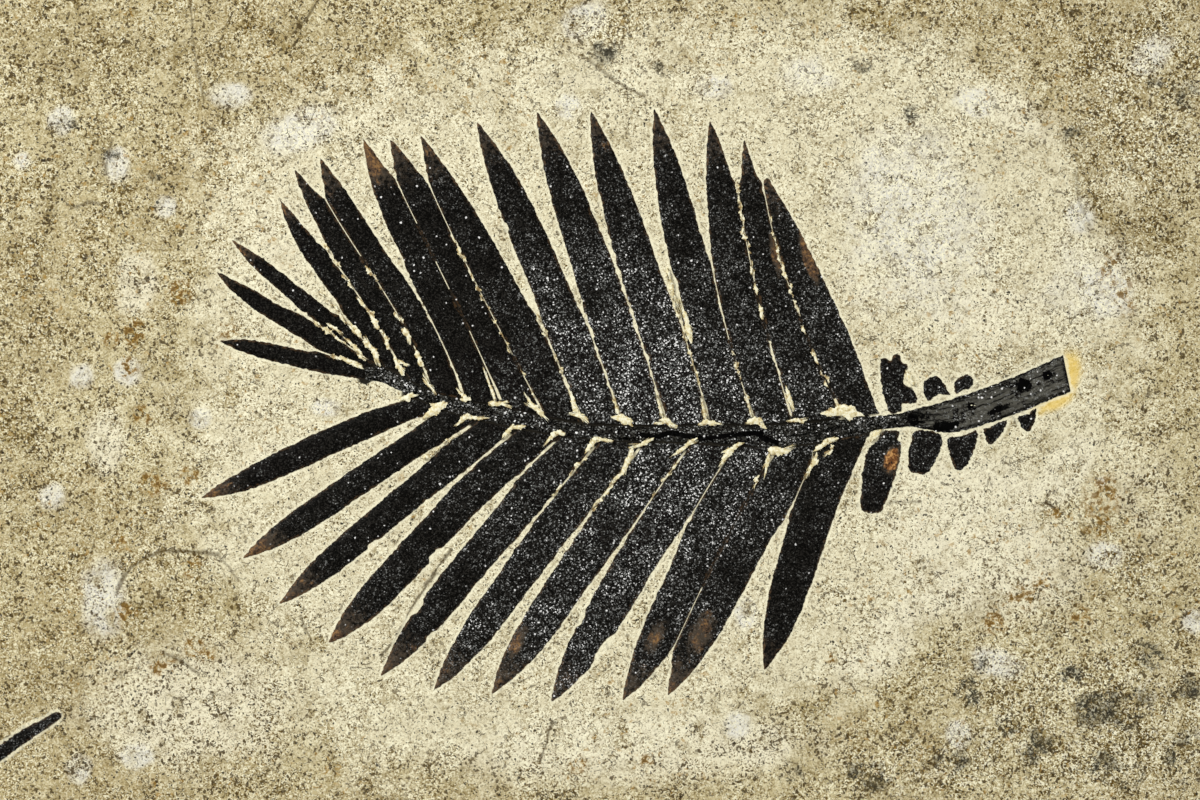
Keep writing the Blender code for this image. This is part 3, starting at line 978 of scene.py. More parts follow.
@dataclass(frozen=True)
class BakeMap:
    """Where the slab lies on the map of a bake: face below, sides and underside above it."""

    span: float = 274.0
    left: float = 137.0
    low: float = 95.0
    under_left: float = 0.005
    under_low: float = 0.71
    under_scale: float = 0.4
    side_left: float = 0.42
    side_long: float = 0.57
    side_low: float = 0.715
    side_pitch: float = 0.07
    side_deep: float = 0.058 / 17

    def face(self, place: Vector) -> tuple[float, float]:
        """A point of the split face."""
        return (place.x + self.left) / self.span, (place.y + self.low) / self.span

    def under(self, place: Vector) -> tuple[float, float]:
        """A point of the underside."""
        u, v = self.face(place)
        return self.under_left + self.under_scale * u, self.under_low + self.under_scale * v

    def side(self, number: int, share: float, level: float) -> tuple[float, float]:
        """A point at that share of the length of one side and at that level."""
        return (self.side_left + self.side_long * share,
                self.side_low + self.side_pitch * number + self.side_deep * level)


@dataclass
class Slab:
    """The slab of limestone: split face, broken sides in beds, sawn underside."""

    solid: Object
    films: Sequence[Sequence[Vector]]
    cells_long: int = 316
    cells_wide: int = 219
    half_long: float = 133.0
    half_wide: float = 92.0
    top_level: float = 16.0
    rim_search: float = 0.0003
    rim_share: float = 0.9
    basin_edge: tuple = (5.0, 17.0)
    basin_sway: float = 7.0
    basin_depth: float = 0.16
    face_relief: float = 0.32
    grain_relief: float = 0.05
    ledge: float = 0.16
    jitter: float = 0.03
    worn_cells: float = 6.0
    rim_wear: tuple = (0.12, 1.3)
    pits: int = 150
    pit_field: tuple = (130.0, 90.0)
    pit_width: tuple = (0.8, 2.4)
    pit_depth: tuple = (0.1, 0.4)
    bed_swing: float = 0.35
    bed_wave: float = 0.9
    bed_ripple: float = 0.25
    side_lumps: float = 0.55
    side_grit: float = 0.28
    film_gap: float = 0.4
    rib_gap: float = 0.3
    rib_end: tuple = (50.0, 55.0)
    widest_seam: float = 6.0
    face_levels: tuple = (14.6, 15.6)
    line_reach: float = 5.0
    atlas: BakeMap = BakeMap()
    beds: tuple = (
        (0.985, 0.35), (0.955, 0.8), (0.92, 1.05), (0.86, 1.2), (0.78, 1.5), (0.70, 1.8),
        (0.685, 2.5), (0.66, 3.3), (0.60, 3.5), (0.53, 3.65), (0.46, 3.75), (0.40, 3.8),
        (0.385, 3.0), (0.36, 2.2), (0.29, 2.0), (0.21, 1.8), (0.13, 1.7), (0.06, 1.6),
        (0.03, 1.35), (0.0, 0.9),
    )
    halo: tuple = (
        (-76, 6), (-73, 30), (-70, 47), (-56, 54), (-38, 61), (2, 69), (49, 72), (75, 59), (93, 41),
        (100, 18), (100, 0), (90, -20), (61, -40), (43, -55), (17, -65), (-12, -70), (-47, -67),
        (-62, -46), (-73, -29), (-77, -12),
    )
    marks: dict = field(default_factory=dict)
    hairlines: Sequence[Hairline] = ()
    soot: Sequence[Hairline] = ()

    def rim(self) -> Line:
        """The solid's upper rim as a smooth closed line, from the lower left corner."""
        found = places(self.solid.data)
        found = found[np.abs(found[:, 2] - self.top_level) < self.rim_search]
        u, v = (found[:, :2] / (self.half_long, self.half_wide)).T
        outer = np.hypot(u, v) > self.rim_share
        found = found[outer]
        order = np.argsort(np.arctan2(v[outer], u[outer]))
        ring = []
        for x, y in found[order][:, :2]:
            if not ring or math.hypot(x - ring[-1][0], y - ring[-1][1]) > 1.0:
                ring.append((x, y))
        start = min(range(len(ring)), key=lambda k: ring[k][0] + ring[k][1])
        return Line([Vector(point) for point in ring[start:] + ring[:start]], closed=True)

    def corners(self, line: Line) -> list[float]:
        """Shares of the rim's length at its four corners, anticlockwise from the lower left."""
        shares = []
        for right, up in ((-1, -1), (1, -1), (1, 1), (-1, 1)):
            reach = line.walk[:-1] @ (right, up)
            shares.append(float(line.marks[int(np.argmax(reach))]) / line.length)
        return [*shares, shares[0] + 1.0]

    def side_points(self, line: Line) -> list[np.ndarray]:
        """The rim cut at its corners into four runs of evenly spaced points."""
        stops = self.corners(line)
        runs = []
        for index, count in enumerate((self.cells_long, self.cells_wide) * 2):
            shares = np.linspace(stops[index], stops[index + 1], count + 1) % 1.0
            runs.append(line.at(shares))
        return runs

    def place_grid(self) -> tuple[np.ndarray, np.ndarray]:
        """Spread the face's grid over the rim.

        Returns:
            The grid's points as rows by columns, and the ring of its border points.
        """
        south, east, north, west = self.side_points(self.rim())
        north, west = north[::-1], west[::-1]
        u = np.linspace(0, 1, self.cells_long + 1)[:, None, None]
        v = np.linspace(0, 1, self.cells_wide + 1)[None, :, None]
        grid = (1 - v) * south[:, None] + v * north[:, None]
        grid += (1 - u) * west[None] + u * east[None]
        grid -= ((1 - u) * (1 - v) * south[0] + u * (1 - v) * south[-1]
                 + (1 - u) * v * north[0] + u * v * north[-1])
        ring = np.concatenate([south[:-1], east[:-1], north[::-1][:-1], west[::-1][:-1]])
        return grid, ring

    def station(self, column: int, row: int) -> int:
        """Place of a border point on the ring, or -1 for a point inside it."""
        if row == 0:
            return column
        if column == self.cells_long:
            return self.cells_long + row
        if row == self.cells_wide:
            return 2 * self.cells_long + self.cells_wide - column
        if column == 0:
            return 2 * (self.cells_long + self.cells_wide) - row
        return -1

    def build(self) -> Object:
        """Build the slab and put its finishes on.

        Returns:
            The slab, which stands for the plain solid.
        """
        grid, ring = self.place_grid()
        builder = bmesh.new()
        layer = builder.loops.layers.uv.new("OFBake")
        stations = builder.verts.layers.int.new("station")
        bmesh.ops.create_grid(builder, x_segments=self.cells_long, y_segments=self.cells_wide,
                              size=1.0)
        self.raise_face(builder, grid, stations)
        for loop in (loop for face in builder.faces for loop in face.loops):
            loop[layer].uv = self.atlas.face(loop.vert.co)
        self.drop_sides(builder, ring, stations, layer)
        self.close_underside(builder, layer)
        builder.verts.layers.int.remove(builder.verts.layers.int["station"])
        stone = Limestone()
        piece = finish_piece(builder, "limestone_slab", [stone.make(face) for face in StoneFace])
        self.paint_marks(piece.data)
        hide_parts(self.solid.name)
        return piece

    def raise_face(self, builder: BMesh, grid: np.ndarray,
                   stations: BMLayerItem) -> None:
        """Move the grid onto the rim and give the face its relief.

        Args:
            builder: The grid as created, from -1 to 1.
            grid: Where each of its points goes.
            stations: Layer that keeps a border point's place on the ring.
        """
        spots, indices = [], []
        for vertex in builder.verts:
            column = round((vertex.co.x + 1) / 2 * self.cells_long)
            row = round((vertex.co.y + 1) / 2 * self.cells_wide)
            vertex[stations] = self.station(column, row)
            spots.append(grid[column, row])
            indices.append(min(column, self.cells_long - column, row, self.cells_wide - row))
        spots = np.array(spots)
        heights = self.face_heights(spots, np.array(indices, float))
        for vertex, (x, y), z in zip(builder.verts, spots, heights):
            vertex.co = (x, y, z)

    def face_heights(self, spots: np.ndarray, inside: np.ndarray) -> np.ndarray:
        """Relief of the split face.

        Args:
            spots: Plan places of the points.
            inside: How many cells each point lies in from the rim.

        Returns:
            Their levels in millimetres.
        """
        shaker = random.Random(SEED)
        away = nearest(spots, self.film_points())
        away = np.minimum(away + 1, np.maximum(self.halo_distance(spots) + 5, 0.0))
        bumps = roughened_over(spots, 3.0, 30.0, 4)
        terraces = roughened_over(spots, 31.0, 42.0, 3) * 5
        rough = roughened_over(spots, 9.0, 3.2, 4)
        steps = np.floor(terraces) + ease(terraces - np.floor(terraces), 0.72, 1.0)
        outer = ease(away + self.basin_sway * bumps, *self.basin_edge)
        heights = STONE_LEVEL + self.grain_relief * rough * (0.35 + outer)
        heights += outer * (self.basin_depth + self.face_relief * bumps + self.ledge * steps / 2)
        shaken = np.array([shaker.uniform(-self.jitter, self.jitter) for _ in heights])
        heights += shaken * (0.4 + outer)
        for _ in range(self.pits):
            x, y = (shaker.uniform(-reach, reach) for reach in self.pit_field)
            wide, deep = shaker.uniform(*self.pit_width), shaker.uniform(*self.pit_depth)
            pit = ease(np.hypot(spots[:, 0] - x, spots[:, 1] - y), wide, 0.2)
            heights -= deep * pit * outer
        least, most = self.rim_wear
        wear = least + most * np.abs(roughened_over(spots, 60.0, 7.0, 3))
        heights -= ease(inside, self.worn_cells, 0.0) * wear
        return heights

    def film_points(self) -> list[np.ndarray]:
        """Closely spaced points round every film's outline."""
        return [point for outline in self.films
                for point in Line(outline, closed=True, fineness=1).spaced(self.film_gap, 8)]

    def drop_sides(self, builder: BMesh, ring: np.ndarray,
                   stations: BMLayerItem, layer: BMLayerItem) -> None:
        """Extrude the rim down bed by bed into rough broken sides.

        Args:
            builder: The slab so far.
            ring: Plan places of the rim's points.
            stations: Layer with each border point's place on the ring.
            layer: The bake's map.
        """
        along = np.roll(ring, -4, axis=0) - np.roll(ring, 4, axis=0)
        out = np.stack([along[:, 1], -along[:, 0]], -1)
        out /= np.linalg.norm(out, axis=1)[:, None]
        broken = list(StoneFace).index(StoneFace.BROKEN)
        stops = np.cumsum([0, self.cells_long, self.cells_wide, self.cells_long, self.cells_wide])
        for share, stands in self.beds:
            made = bmesh.ops.extrude_edge_only(builder, edges=border_edges(builder))["geom"]
            for part in made:
                if isinstance(part, BMVert):
                    index = part[stations]
                    x, y = ring[index]
                    level = share * self.top_level
                    reach = stands * (1 + self.bed_swing * wander(x, y, level, 18.0))
                    if share > 0:
                        free = min(share, 1 - share) * 4
                        level += self.bed_wave * wander(x, y, 5.0, 33.0) * free
                        level += self.bed_ripple * wander(x, y, level, 6.0)
                        reach += self.side_lumps * roughened(x, y, level, 9.0, 3)
                        reach += self.side_grit * roughened(x, y, 2 * level, 2.2, 3)
                    part.co = (x + out[index, 0] * reach, y + out[index, 1] * reach, level)
            for part in made:
                if isinstance(part, BMFace):
                    part.material_index = broken
                    self.map_side(part, stations, layer, stops)

    def map_side(self, face: BMFace, stations: BMLayerItem,
                 layer: BMLayerItem, stops: np.ndarray) -> None:
        """Lay one face of a side in that side's strip of the bake's map."""
        first = min(loop.vert[stations] for loop in face.loops)
        last = max(loop.vert[stations] for loop in face.loops)
        wrapped = last - first > 1
        side = 3 if wrapped else int(np.searchsorted(stops, first, side="right")) - 1
        for loop in face.loops:
            index = loop.vert[stations]
            if wrapped and index == 0:
                index = stops[-1]
            share = (index - stops[side]) / (stops[side + 1] - stops[side])
            loop[layer].uv = self.atlas.side(side, share, loop.vert.co.z)

    def close_underside(self, builder: BMesh, layer: BMLayerItem) -> None:
        """Fill the flat underside and lay it in the corner left over on the bake's map."""
        known = set(builder.faces)
        bmesh.ops.contextual_create(builder, geom=border_edges(builder))
        for face in builder.faces:
            if face not in known:
                face.material_index = list(StoneFace).index(StoneFace.SAWN)
                for loop in face.loops:
                    loop[layer].uv = self.atlas.under(loop.vert.co)
        bmesh.ops.recalc_face_normals(builder, faces=builder.faces)

    def halo_distance(self, points: np.ndarray) -> np.ndarray:
        """Signed distance to the edge of the pale halo round the leaf, less than 0 inside it."""
        ring = Line(self.halo, closed=True).walk
        away = nearest(points, ring)
        return np.where(within(points, ring), -away, away)

    def seam_width(self, points: np.ndarray) -> np.ndarray:
        """Room between the midrib and the film beside it, at each point.

        Args:
            points: One row for each point.

        Returns:
            The sum of the distances to the midrib's outline and to the next film's.
        """
        long = max(self.films, key=len)
        rest = [point for outline in self.films if outline is not long
                for point in Line(outline, closed=True, fineness=4).walk]
        rib = Line(long, closed=True, fineness=1).spaced(self.rib_gap)
        room = nearest(points, rib) + nearest(points, rest)
        room += self.widest_seam * ease(points[:, 0], *self.rib_end)
        return np.minimum(room, self.widest_seam)

    def paint_marks(self, mesh: Mesh) -> None:
        """Paint where stains, hairlines and the leaf lie."""
        points = places(mesh)
        face = ease(points[:, 2], *self.face_levels)
        for tint in Tint:
            cover = np.zeros(len(points))
            for mark in self.marks.get(tint, ()):
                cover = np.maximum(cover, mark.over(points))
            paint(mesh, tint.value, cover * face)
        hidden = np.zeros(len(points), bool)
        for outline in self.films:
            hidden |= within(points, outline)
        away = nearest(points, self.film_points())
        paint(mesh, "leaf_distance", np.where(hidden, -away, away))
        paint(mesh, "halo", self.halo_distance(points))
        paint(mesh, "midrib_seam", self.seam_width(points))
        side = np.full(len(points), FAR)
        share = np.zeros(len(points))
        for line in self.hairlines:
            off, shown = line.beside(points)
            better = np.abs(off) < np.abs(side)
            side[better], share[better] = off[better], shown[better]
        paint(mesh, "line_side", np.clip(side, -self.line_reach, self.line_reach))
        paint(mesh, "line_share", share * face)
        soot = np.zeros(len(points))
        for line in self.soot:
            off, shown = line.beside(points)
            soot = np.maximum(soot, shown * ease(np.abs(off), line.reach, 0.3 * line.reach))
        paint(mesh, "soot", soot)


@dataclass(frozen=True)
class Notch:
    """A bite out of one edge of a leaflet: share of the length, -1 left or 1 right, and size."""

    along: float
    side: int
    depth: float
    length: float


@dataclass(frozen=True)
class LeafletDress:
    """How one leaflet's film has kept: how dense its painted glints are at base and tip, and
    browning.
    """

    glint_base: float = 0.6
    glint_tip: float = 0.3
    brown_tip: float = 0.3


@dataclass
class FilmMaker:
    """Shapes thin films and paints the numbers that their finishes read."""

    cell: float = 0.26
    wear: float = 0.22
    spread: float = 0.08
    roundness: int = 4
    least_rows: int = 12
    least_columns: int = 6
    least_gap: float = 0.05
    deepest_wear: float = 0.42
    least_room: float = 0.1
    ragged: tuple = ((0.7, 7.0, 1.1), (0.55, 7.0, 0.45), (0.4, 9.0, 0.26), (0.5, 7.0, 4.0))
    browned: Sequence[Mark] = ()

    def dress(self, piece: Object, spots: np.ndarray, care: LeafletDress) -> None:
        """Paint a film's masks and lay its own map.

        Args:
            piece: The film.
            spots: Each vertex's place across the film, along it and from its edge.
            care: How the film has kept.
        """
        mesh = piece.data
        across, along, edge = spots.T
        points = places(mesh)
        share = along / max(float(along.max()), 1e-6)
        brown = care.brown_tip * ease(share, 0.72, 1.0)
        for mark in self.browned:
            brown = np.maximum(brown, mark.over(points))
        paint(mesh, "edge", edge)
        paint(mesh, "brown", brown)
        paint(mesh, "glint", care.glint_base + (care.glint_tip - care.glint_base)
              * ease(share, 0.15, 0.95))
        layer = mesh.uv_layers.new(name="film")
        corner = np.empty(len(mesh.loops), np.int32)
        mesh.loops.foreach_get("vertex_index", corner)
        flat = np.stack([across[corner], along[corner]], -1)
        layer.uv.foreach_set("vector", flat.astype(np.float32).ravel())

    def strip(self, left: Line, right: Line, bites: Sequence[Notch],
              profile: Callable[[float, float, float, float], float], seed: float,
              others: Sequence[Sequence[float]] = ()) -> tuple[BMesh, np.ndarray]:
        """Lay a grid between two rails and give it a height.

        Args:
            left: Rail along the left edge, from base to tip.
            right: Rail along the right edge.
            bites: Notches in the edges.
            profile: Level of the film from x, y, place across (-1 to 1) and distance to its edge.
            seed: Shifts the wear, so that two films differ.
            others: Points on the neighbouring films.

        Returns:
            The closed film, and each vertex's place across it, along it and from its edge.
        """
        long = 0.5 * (left.length + right.length)
        rows = max(round(long / self.cell), self.least_rows)
        shares = np.linspace(0.0, 1.0, rows + 1)
        rails = (left.at(shares), right.at(shares))
        width = float(np.linalg.norm(rails[1] - rails[0], axis=1).max())
        columns = max(round(width / self.cell), self.least_columns)
        pulled = [self.worn(rail, shares * long, side, seed, bites, others)
                  for rail, side in zip(rails, (-1, 1))]
        builder = bmesh.new()
        spot = builder.verts.layers.float_vector.new("spot")
        bmesh.ops.create_grid(builder, x_segments=columns, y_segments=rows, size=1.0)
        for vertex in builder.verts:
            row = round((vertex.co.y + 1) / 2 * rows)
            across, share = vertex.co.x, shares[row]
            near, far = rails[0][row], rails[1][row]
            gap = max(float(np.linalg.norm(far - near)), self.least_gap)
            start, end = (min(pull[row] / gap, self.deepest_wear) for pull in pulled)
            x, y = near + (far - near) * (start + (1 - start - end) * (0.5 + 0.5 * across))
            inner = 0.5 * gap * (1 - abs(across))
            end_on = FAR if share < 0.5 else (1 - share) * long
            vertex[spot] = (across * 0.5 * gap, share * long, min(inner, end_on))
            vertex.co = (x, y, profile(x, y, across, min(inner, end_on)))
        add_walls(builder, FILM_ROOT)
        spots = np.array([vertex[spot][:] for vertex in builder.verts])
        builder.verts.layers.float_vector.remove(spot)
        return builder, spots

    def worn(self, rail: np.ndarray, marks: np.ndarray, side: int, seed: float,
             bites: Sequence[Notch], others: Sequence[Sequence[float]]) -> np.ndarray:
        """How far one edge has crumbled back along a film.

        Args:
            rail: The edge's plan points.
            marks: Their distances along the film.
            side: -1 for the left edge and 1 for the right.
            seed: Shifts the wear.
            bites: Notches in the edges.
            others: Points on the neighbouring films, towards which an edge creeps.

        Returns:
            Millimetres that the edge is drawn in at each point, less than 0 where it grows.
        """
        back = np.array([sum(strength * wander(mark, row * side, seed, grain)
                             for strength, row, grain in self.ragged) for mark in marks])
        back = self.wear * back - self.spread
        if len(others):
            room = nearest(rail, others)
            close = [0.33 + 0.3 * wander(mark, 5.0, seed, 2.2) + 0.16 * wander(mark, 6.0, seed, 0.7)
                     for mark in marks]
            back -= np.array(close) * room * ease(room, 2.3, 1.2)
        for bite in bites:
            if bite.side == side:
                off = np.abs(marks - bite.along * marks[-1])
                back += bite.depth * ease(off, bite.length, 0.4 * bite.length)
        return np.maximum(back, self.least_room - 0.5 * room) if len(others) else back

    def patch(self, outline: Sequence[Vector], root: float, rim: float, crown: float,
              seed: float) -> BMesh:
        """Raise a torn scrap over an outline of any shape.

        Args:
            outline: Corners, anticlockwise, in millimetres.
            root: Level of its hidden underside.
            rim: Level of its edge.
            crown: Level of its middle.
            seed: Shifts the wear.

        Returns:
            The closed scrap.
        """
        line = Line(outline, closed=True, fineness=self.roundness)
        count = max(int(line.length / (0.6 * self.cell)), 16)
        edge = line.at(np.arange(count) / count)
        way = np.roll(edge, -1, axis=0) - np.roll(edge, 1, axis=0)
        inward = np.stack([-way[:, 1], way[:, 0]], -1)
        inward /= np.maximum(np.linalg.norm(inward, axis=1), 1e-6)[:, None]
        pull = self.wear * np.array([0.2 + wander(x, y, seed, 0.8)
                                     + 0.7 * wander(x, y, seed, 0.35)
                                     + 0.6 * wander(x, y, seed + 3, 0.2) for x, y in edge])
        edge = edge + inward * pull[:, None]
        builder = bmesh.new()
        corners = [builder.verts.new((x, y, 0.0)) for x, y in edge]
        bmesh.ops.contextual_create(builder, geom=corners)
        if not builder.faces:
            builder.faces.new(corners)
        low, high = edge.min(0), edge.max(0)
        for axis in (0, 1):
            for level in np.arange(low[axis] + self.cell, high[axis], self.cell):
                normal = Vector((axis == 0, axis == 1, 0.0))
                whole = [*builder.verts, *builder.edges, *builder.faces]
                bmesh.ops.bisect_plane(builder, geom=whole, dist=1e-4, plane_co=normal * level,
                                       plane_no=normal)
        deep = nearest(plan_of(builder), edge)
        for vertex, inside in zip(builder.verts, deep):
            x, y = vertex.co.x, vertex.co.y
            swell = 0.5 * ease(inside, 0.0, 0.45) + 0.5 * min(inside / 1.6, 1.0)
            grit = 0.05 * roughened(x, y, seed, 0.9, 2) + 0.04 * wander(x, y, seed, 2.4)
            vertex.co.z = rim + (crown - rim) * swell + grit * min(inside / 0.3, 1.0)
        add_walls(builder, root)
        return builder


def leaflet_rails(node: Object, spine: Sequence[Vector]) -> tuple[Line, Line]:
    """Split a leaflet's outline into its left and right edges.

    Args:
        node: The leaflet's solid.
        spine: The midrib's outline, from which the tip lies furthest.

    Returns:
        The left and right rails, from base to tip.
    """
    loop = outline_of(node)
    tip = max(range(len(loop)), key=lambda k: min((loop[k] - p).length for p in spine))
    count = len(loop)
    half = count // 2
    ahead = [loop[(tip + k) % count] for k in range(half + 1)][::-1]
    behind = [loop[(tip - k) % count] for k in range(half + 1)][::-1]
    chord = loop[tip] - (ahead[0] + behind[0]) / 2
    aside = ahead[half // 2] - behind[half // 2]
    if chord.x * aside.y - chord.y * aside.x > 0:
        left, right = ahead, behind
    else:
        left, right = behind, ahead
    return Line(left), Line(right)


def seam_between(nodes: dict, side: str, index: int) -> np.ndarray:
    """Walk up the strip of stone between two neighbouring leaflets.

    Args:
        nodes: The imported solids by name.
        side: Which side of the midrib, upper or lower.
        index: The first leaflet's number; the other is the next towards the stalk.

    Returns:
        One row of x, y and room for every step from the midrib outwards.
    """
    spine = outline_of(nodes["rachis"])
    one = leaflet_rails(nodes[f"leaflet_{side}_{index:02d}"], spine)[side == "upper"]
    two = leaflet_rails(nodes[f"leaflet_{side}_{index + 1:02d}"], spine)[side != "upper"]
    marks = np.arange(0, min(one.length, two.length), SEAM_STEP)
    first, second = one.at(marks / one.length), two.at(marks / two.length)
    return np.column_stack([(first + second) / 2, np.linalg.norm(first - second, axis=1)])


@dataclass
class Leaf:
    """All of the leaf's film: leaflets, midrib, torn bases and the loose fragment."""

    nodes: dict
    maker: FilmMaker
    dresses: dict
    shoulder_run: float = 0.4
    groove: float = 0.12
    round_run: float = 0.9
    block_long: float = 3.4
    block_wide: float = 2.6
    block_step: float = 0.16
    joint_width: float = 0.09
    joint_depth: float = 0.2
    hollow_depth: float = 0.35

    def leaflet_profile(self, x: float, y: float, across: float, inside: float) -> float:
        """Level of a leaflet's film at one place."""
        shoulder = ease(inside, 0.0, self.shoulder_run)
        level = FILM_RIM + (FILM_SHOULDER - FILM_RIM) * shoulder
        level += (FILM_CROWN - FILM_SHOULDER) * (1 - abs(across) ** 2.2) * min(inside / 0.8, 1.0)
        grit = 0.022 * roughened(x, y, 2.0, 0.8, 2) + 0.03 * wander(x, y, 8.0, 3.0)
        return level + grit * min(inside / 0.3, 1.0)

    def build_leaflets(self, finish: Material) -> None:
        """Build every leaflet over its solid."""
        spine = outline_of(self.nodes["rachis"])
        names = sorted(n for n in self.nodes if n.startswith("leaflet_") and "stub" not in n)
        shares = np.linspace(0, 1, 260)
        edges = {name: Line(outline_of(self.nodes[name]), closed=True, fineness=2).at(shares)
                 for name in names}
        for index, name in enumerate(names):
            others = np.concatenate([edges[other] for other in names if other != name])
            care = self.dresses.get(name, LeafletDress())
            left, right = leaflet_rails(self.nodes[name], spine)
            builder, spots = self.maker.strip(left, right, FILLED.get(name, ()),
                                              self.leaflet_profile, 3.7 * index, others)
            piece = finish_piece(builder, f"film_{name}", [finish])
            self.maker.dress(piece, spots, care)
            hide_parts(name)

    def rachis_rails(self) -> tuple[Line, Line]:
        """Split the midrib's outline at its two ends into lower and upper edges."""
        loop = outline_of(self.nodes["rachis"])
        count = len(loop)
        apex = min(range(count), key=lambda k: loop[k].x + loop[(k + 1) % count].x)
        stalk = max(range(count), key=lambda k: loop[k].x + loop[(k + 1) % count].x)
        lower = [loop[(apex + 1 + k) % count] for k in range((stalk - apex) % count)]
        upper = [loop[(apex - k) % count] for k in range((apex - stalk) % count)]
        return Line(upper), Line(lower)

    def rachis_profile(self, x: float, y: float, across: float, inside: float) -> float:
        """Level of the midrib at one place: two shoulders, a groove, and broken blocks."""
        shoulders = math.cos(across * math.pi * 1.15) * -self.groove
        round_off = ease(inside, 0.0, self.round_run)
        full = RACHIS_TOP - FILM_RIM - self.groove
        body = full * round_off * min(1.0, 0.68 + (x + 44) / 120)
        away, middles = noise.voronoi(Vector((x / self.block_long, y / self.block_wide, 0.0)))
        step = self.block_step * noise.cell(middles[0] * 7.31)
        joint = self.joint_depth * ease(away[1] - away[0], self.joint_width, 0.0)
        grit = 0.05 * roughened(x, y, 14.0, 1.1, 3)
        hollow = sum(math.exp(-((x - dip.x) ** 2 + (y - dip.y) ** 2) / dip.across**2)
                     for dip in STALK_HOLLOWS)
        relief = shoulders + step - joint + grit - self.hollow_depth * hollow
        return FILM_RIM + body + relief * round_off

    def build_rachis(self, finish: Material) -> None:
        """Build the midrib and stalk over their solid."""
        upper, lower = self.rachis_rails()
        builder, spots = self.maker.strip(upper, lower, (), self.rachis_profile, 90.0)
        piece = finish_piece(builder, "midrib", [finish])
        self.maker.dress(piece, spots, LeafletDress(0.56, 0.5, 0.0))
        points = places(piece.data)
        side, share = MIDRIB_SPLIT.beside(points)
        split = share * ease(np.abs(side), 0.7, 0.15)
        for dark in (*STALK_HOLLOWS, *STALK_SOOT):
            split = np.maximum(split, ease(dark.over(points), 0.05, 0.9))
        paint(piece.data, "split", split)
        paint(piece.data, "bared", ease(points[:, 0], 56.0, 72.0))
        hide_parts("rachis")

    def build_scraps(self, finish: Material) -> None:
        """Build the torn bases and the loose fragment over their solids."""
        torn = sorted(n for n in self.nodes if "stub" in n or n == "loose_leaf_fragment")
        for index, name in enumerate(torn):
            outline = outline_of(self.nodes[name])
            builder = self.maker.patch(outline, FILM_ROOT, FILM_RIM, FILM_CROWN, 5.0 + index)
            edge = np.array([point[:2] for point in outline])
            middle = edge.mean(0)
            plan = plan_of(builder)
            inside = nearest(plan, Line(outline, closed=True, fineness=4).spaced(0.15))
            long = edge[int(np.argmax(np.abs(edge[:, 1])))] - middle
            long /= np.linalg.norm(long)
            reach = (plan - middle) @ long
            across = (plan - middle) @ (-long[1], long[0])
            piece = finish_piece(builder, f"film_{name}", [finish])
            self.maker.dress(piece, np.column_stack([across, reach - reach.min(), inside]),
                             LeafletDress(0.5, 0.35, 0.15))
            "leaflet_carbon" if name == "loose_leaf_fragment" else "torn_carbon"
            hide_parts(name)


@dataclass(frozen=True)
class Crumb:
    """A smear of matrix over the film: x, y and width at each point along it."""

    points: tuple

    def outline(self, shaker: random.Random) -> list[Vector]:
        """The smear's outline, anticlockwise, with splintered edges and pointed ends.

        Args:
            shaker: Source of the chance splinters.

        Returns:
            The corners in millimetres.
        """
        spine = [Vector((x, y)) for x, y, _ in self.points]
        one, two = [], []
        for index, (x, y, wide) in enumerate(self.points):
            way = spine[min(index + 1, len(spine) - 1)] - spine[max(index - 1, 0)]
            aside = Vector((-way.y, way.x)).normalized() * wide / 2
            slip = way.normalized() * wide * 0.35
            for edge, reach in ((one, -aside), (two, aside)):
                edge.append(spine[index] + reach * shaker.uniform(0.55, 1.5)
                            + slip * shaker.uniform(-1, 1))
        first = (spine[0] - spine[1]).normalized() * shaker.uniform(0.2, 0.8)
        last = (spine[-1] - spine[-2]).normalized() * shaker.uniform(0.2, 0.8)
        return [spine[0] + first, *one, spine[-1] + last, *two[::-1]]


@dataclass(frozen=True)
class Trail:
    """Small crumbs strewn along one seam between two leaflets, counted from the apex."""

    side: str
    index: int
    start: float
    end: float
    count: int
    size: float

    def crumbs(self, seam: np.ndarray, shaker: random.Random) -> list[Crumb]:
        """Strew the crumbs.

        Args:
            seam: Points along the seam from the midrib outwards: x, y and room.
            shaker: Source of the chance places.

        Returns:
            The crumbs.
        """
        made = []
        for _ in range(self.count):
            mark = shaker.uniform(self.start, self.end) / SEAM_STEP
            x, y, _ = seam[min(int(mark), len(seam) - 3)]
            ahead = seam[min(int(mark) + 2, len(seam) - 1)]
            way = Vector((ahead[0] - x, ahead[1] - y)).normalized()
            size = self.size * shaker.uniform(0.5, 1.5)
            off = Vector((-way.y, way.x)) * shaker.uniform(-0.35, 0.35)
            start = Vector((x, y)) + off
            end = start + way * size * shaker.uniform(0.6, 2.2)
            middle = (start + end) / 2 + off * 0.4
            made.append(Crumb(((*start, 0.5 * size), (*middle, size), (*end, 0.4 * size))))
        return made


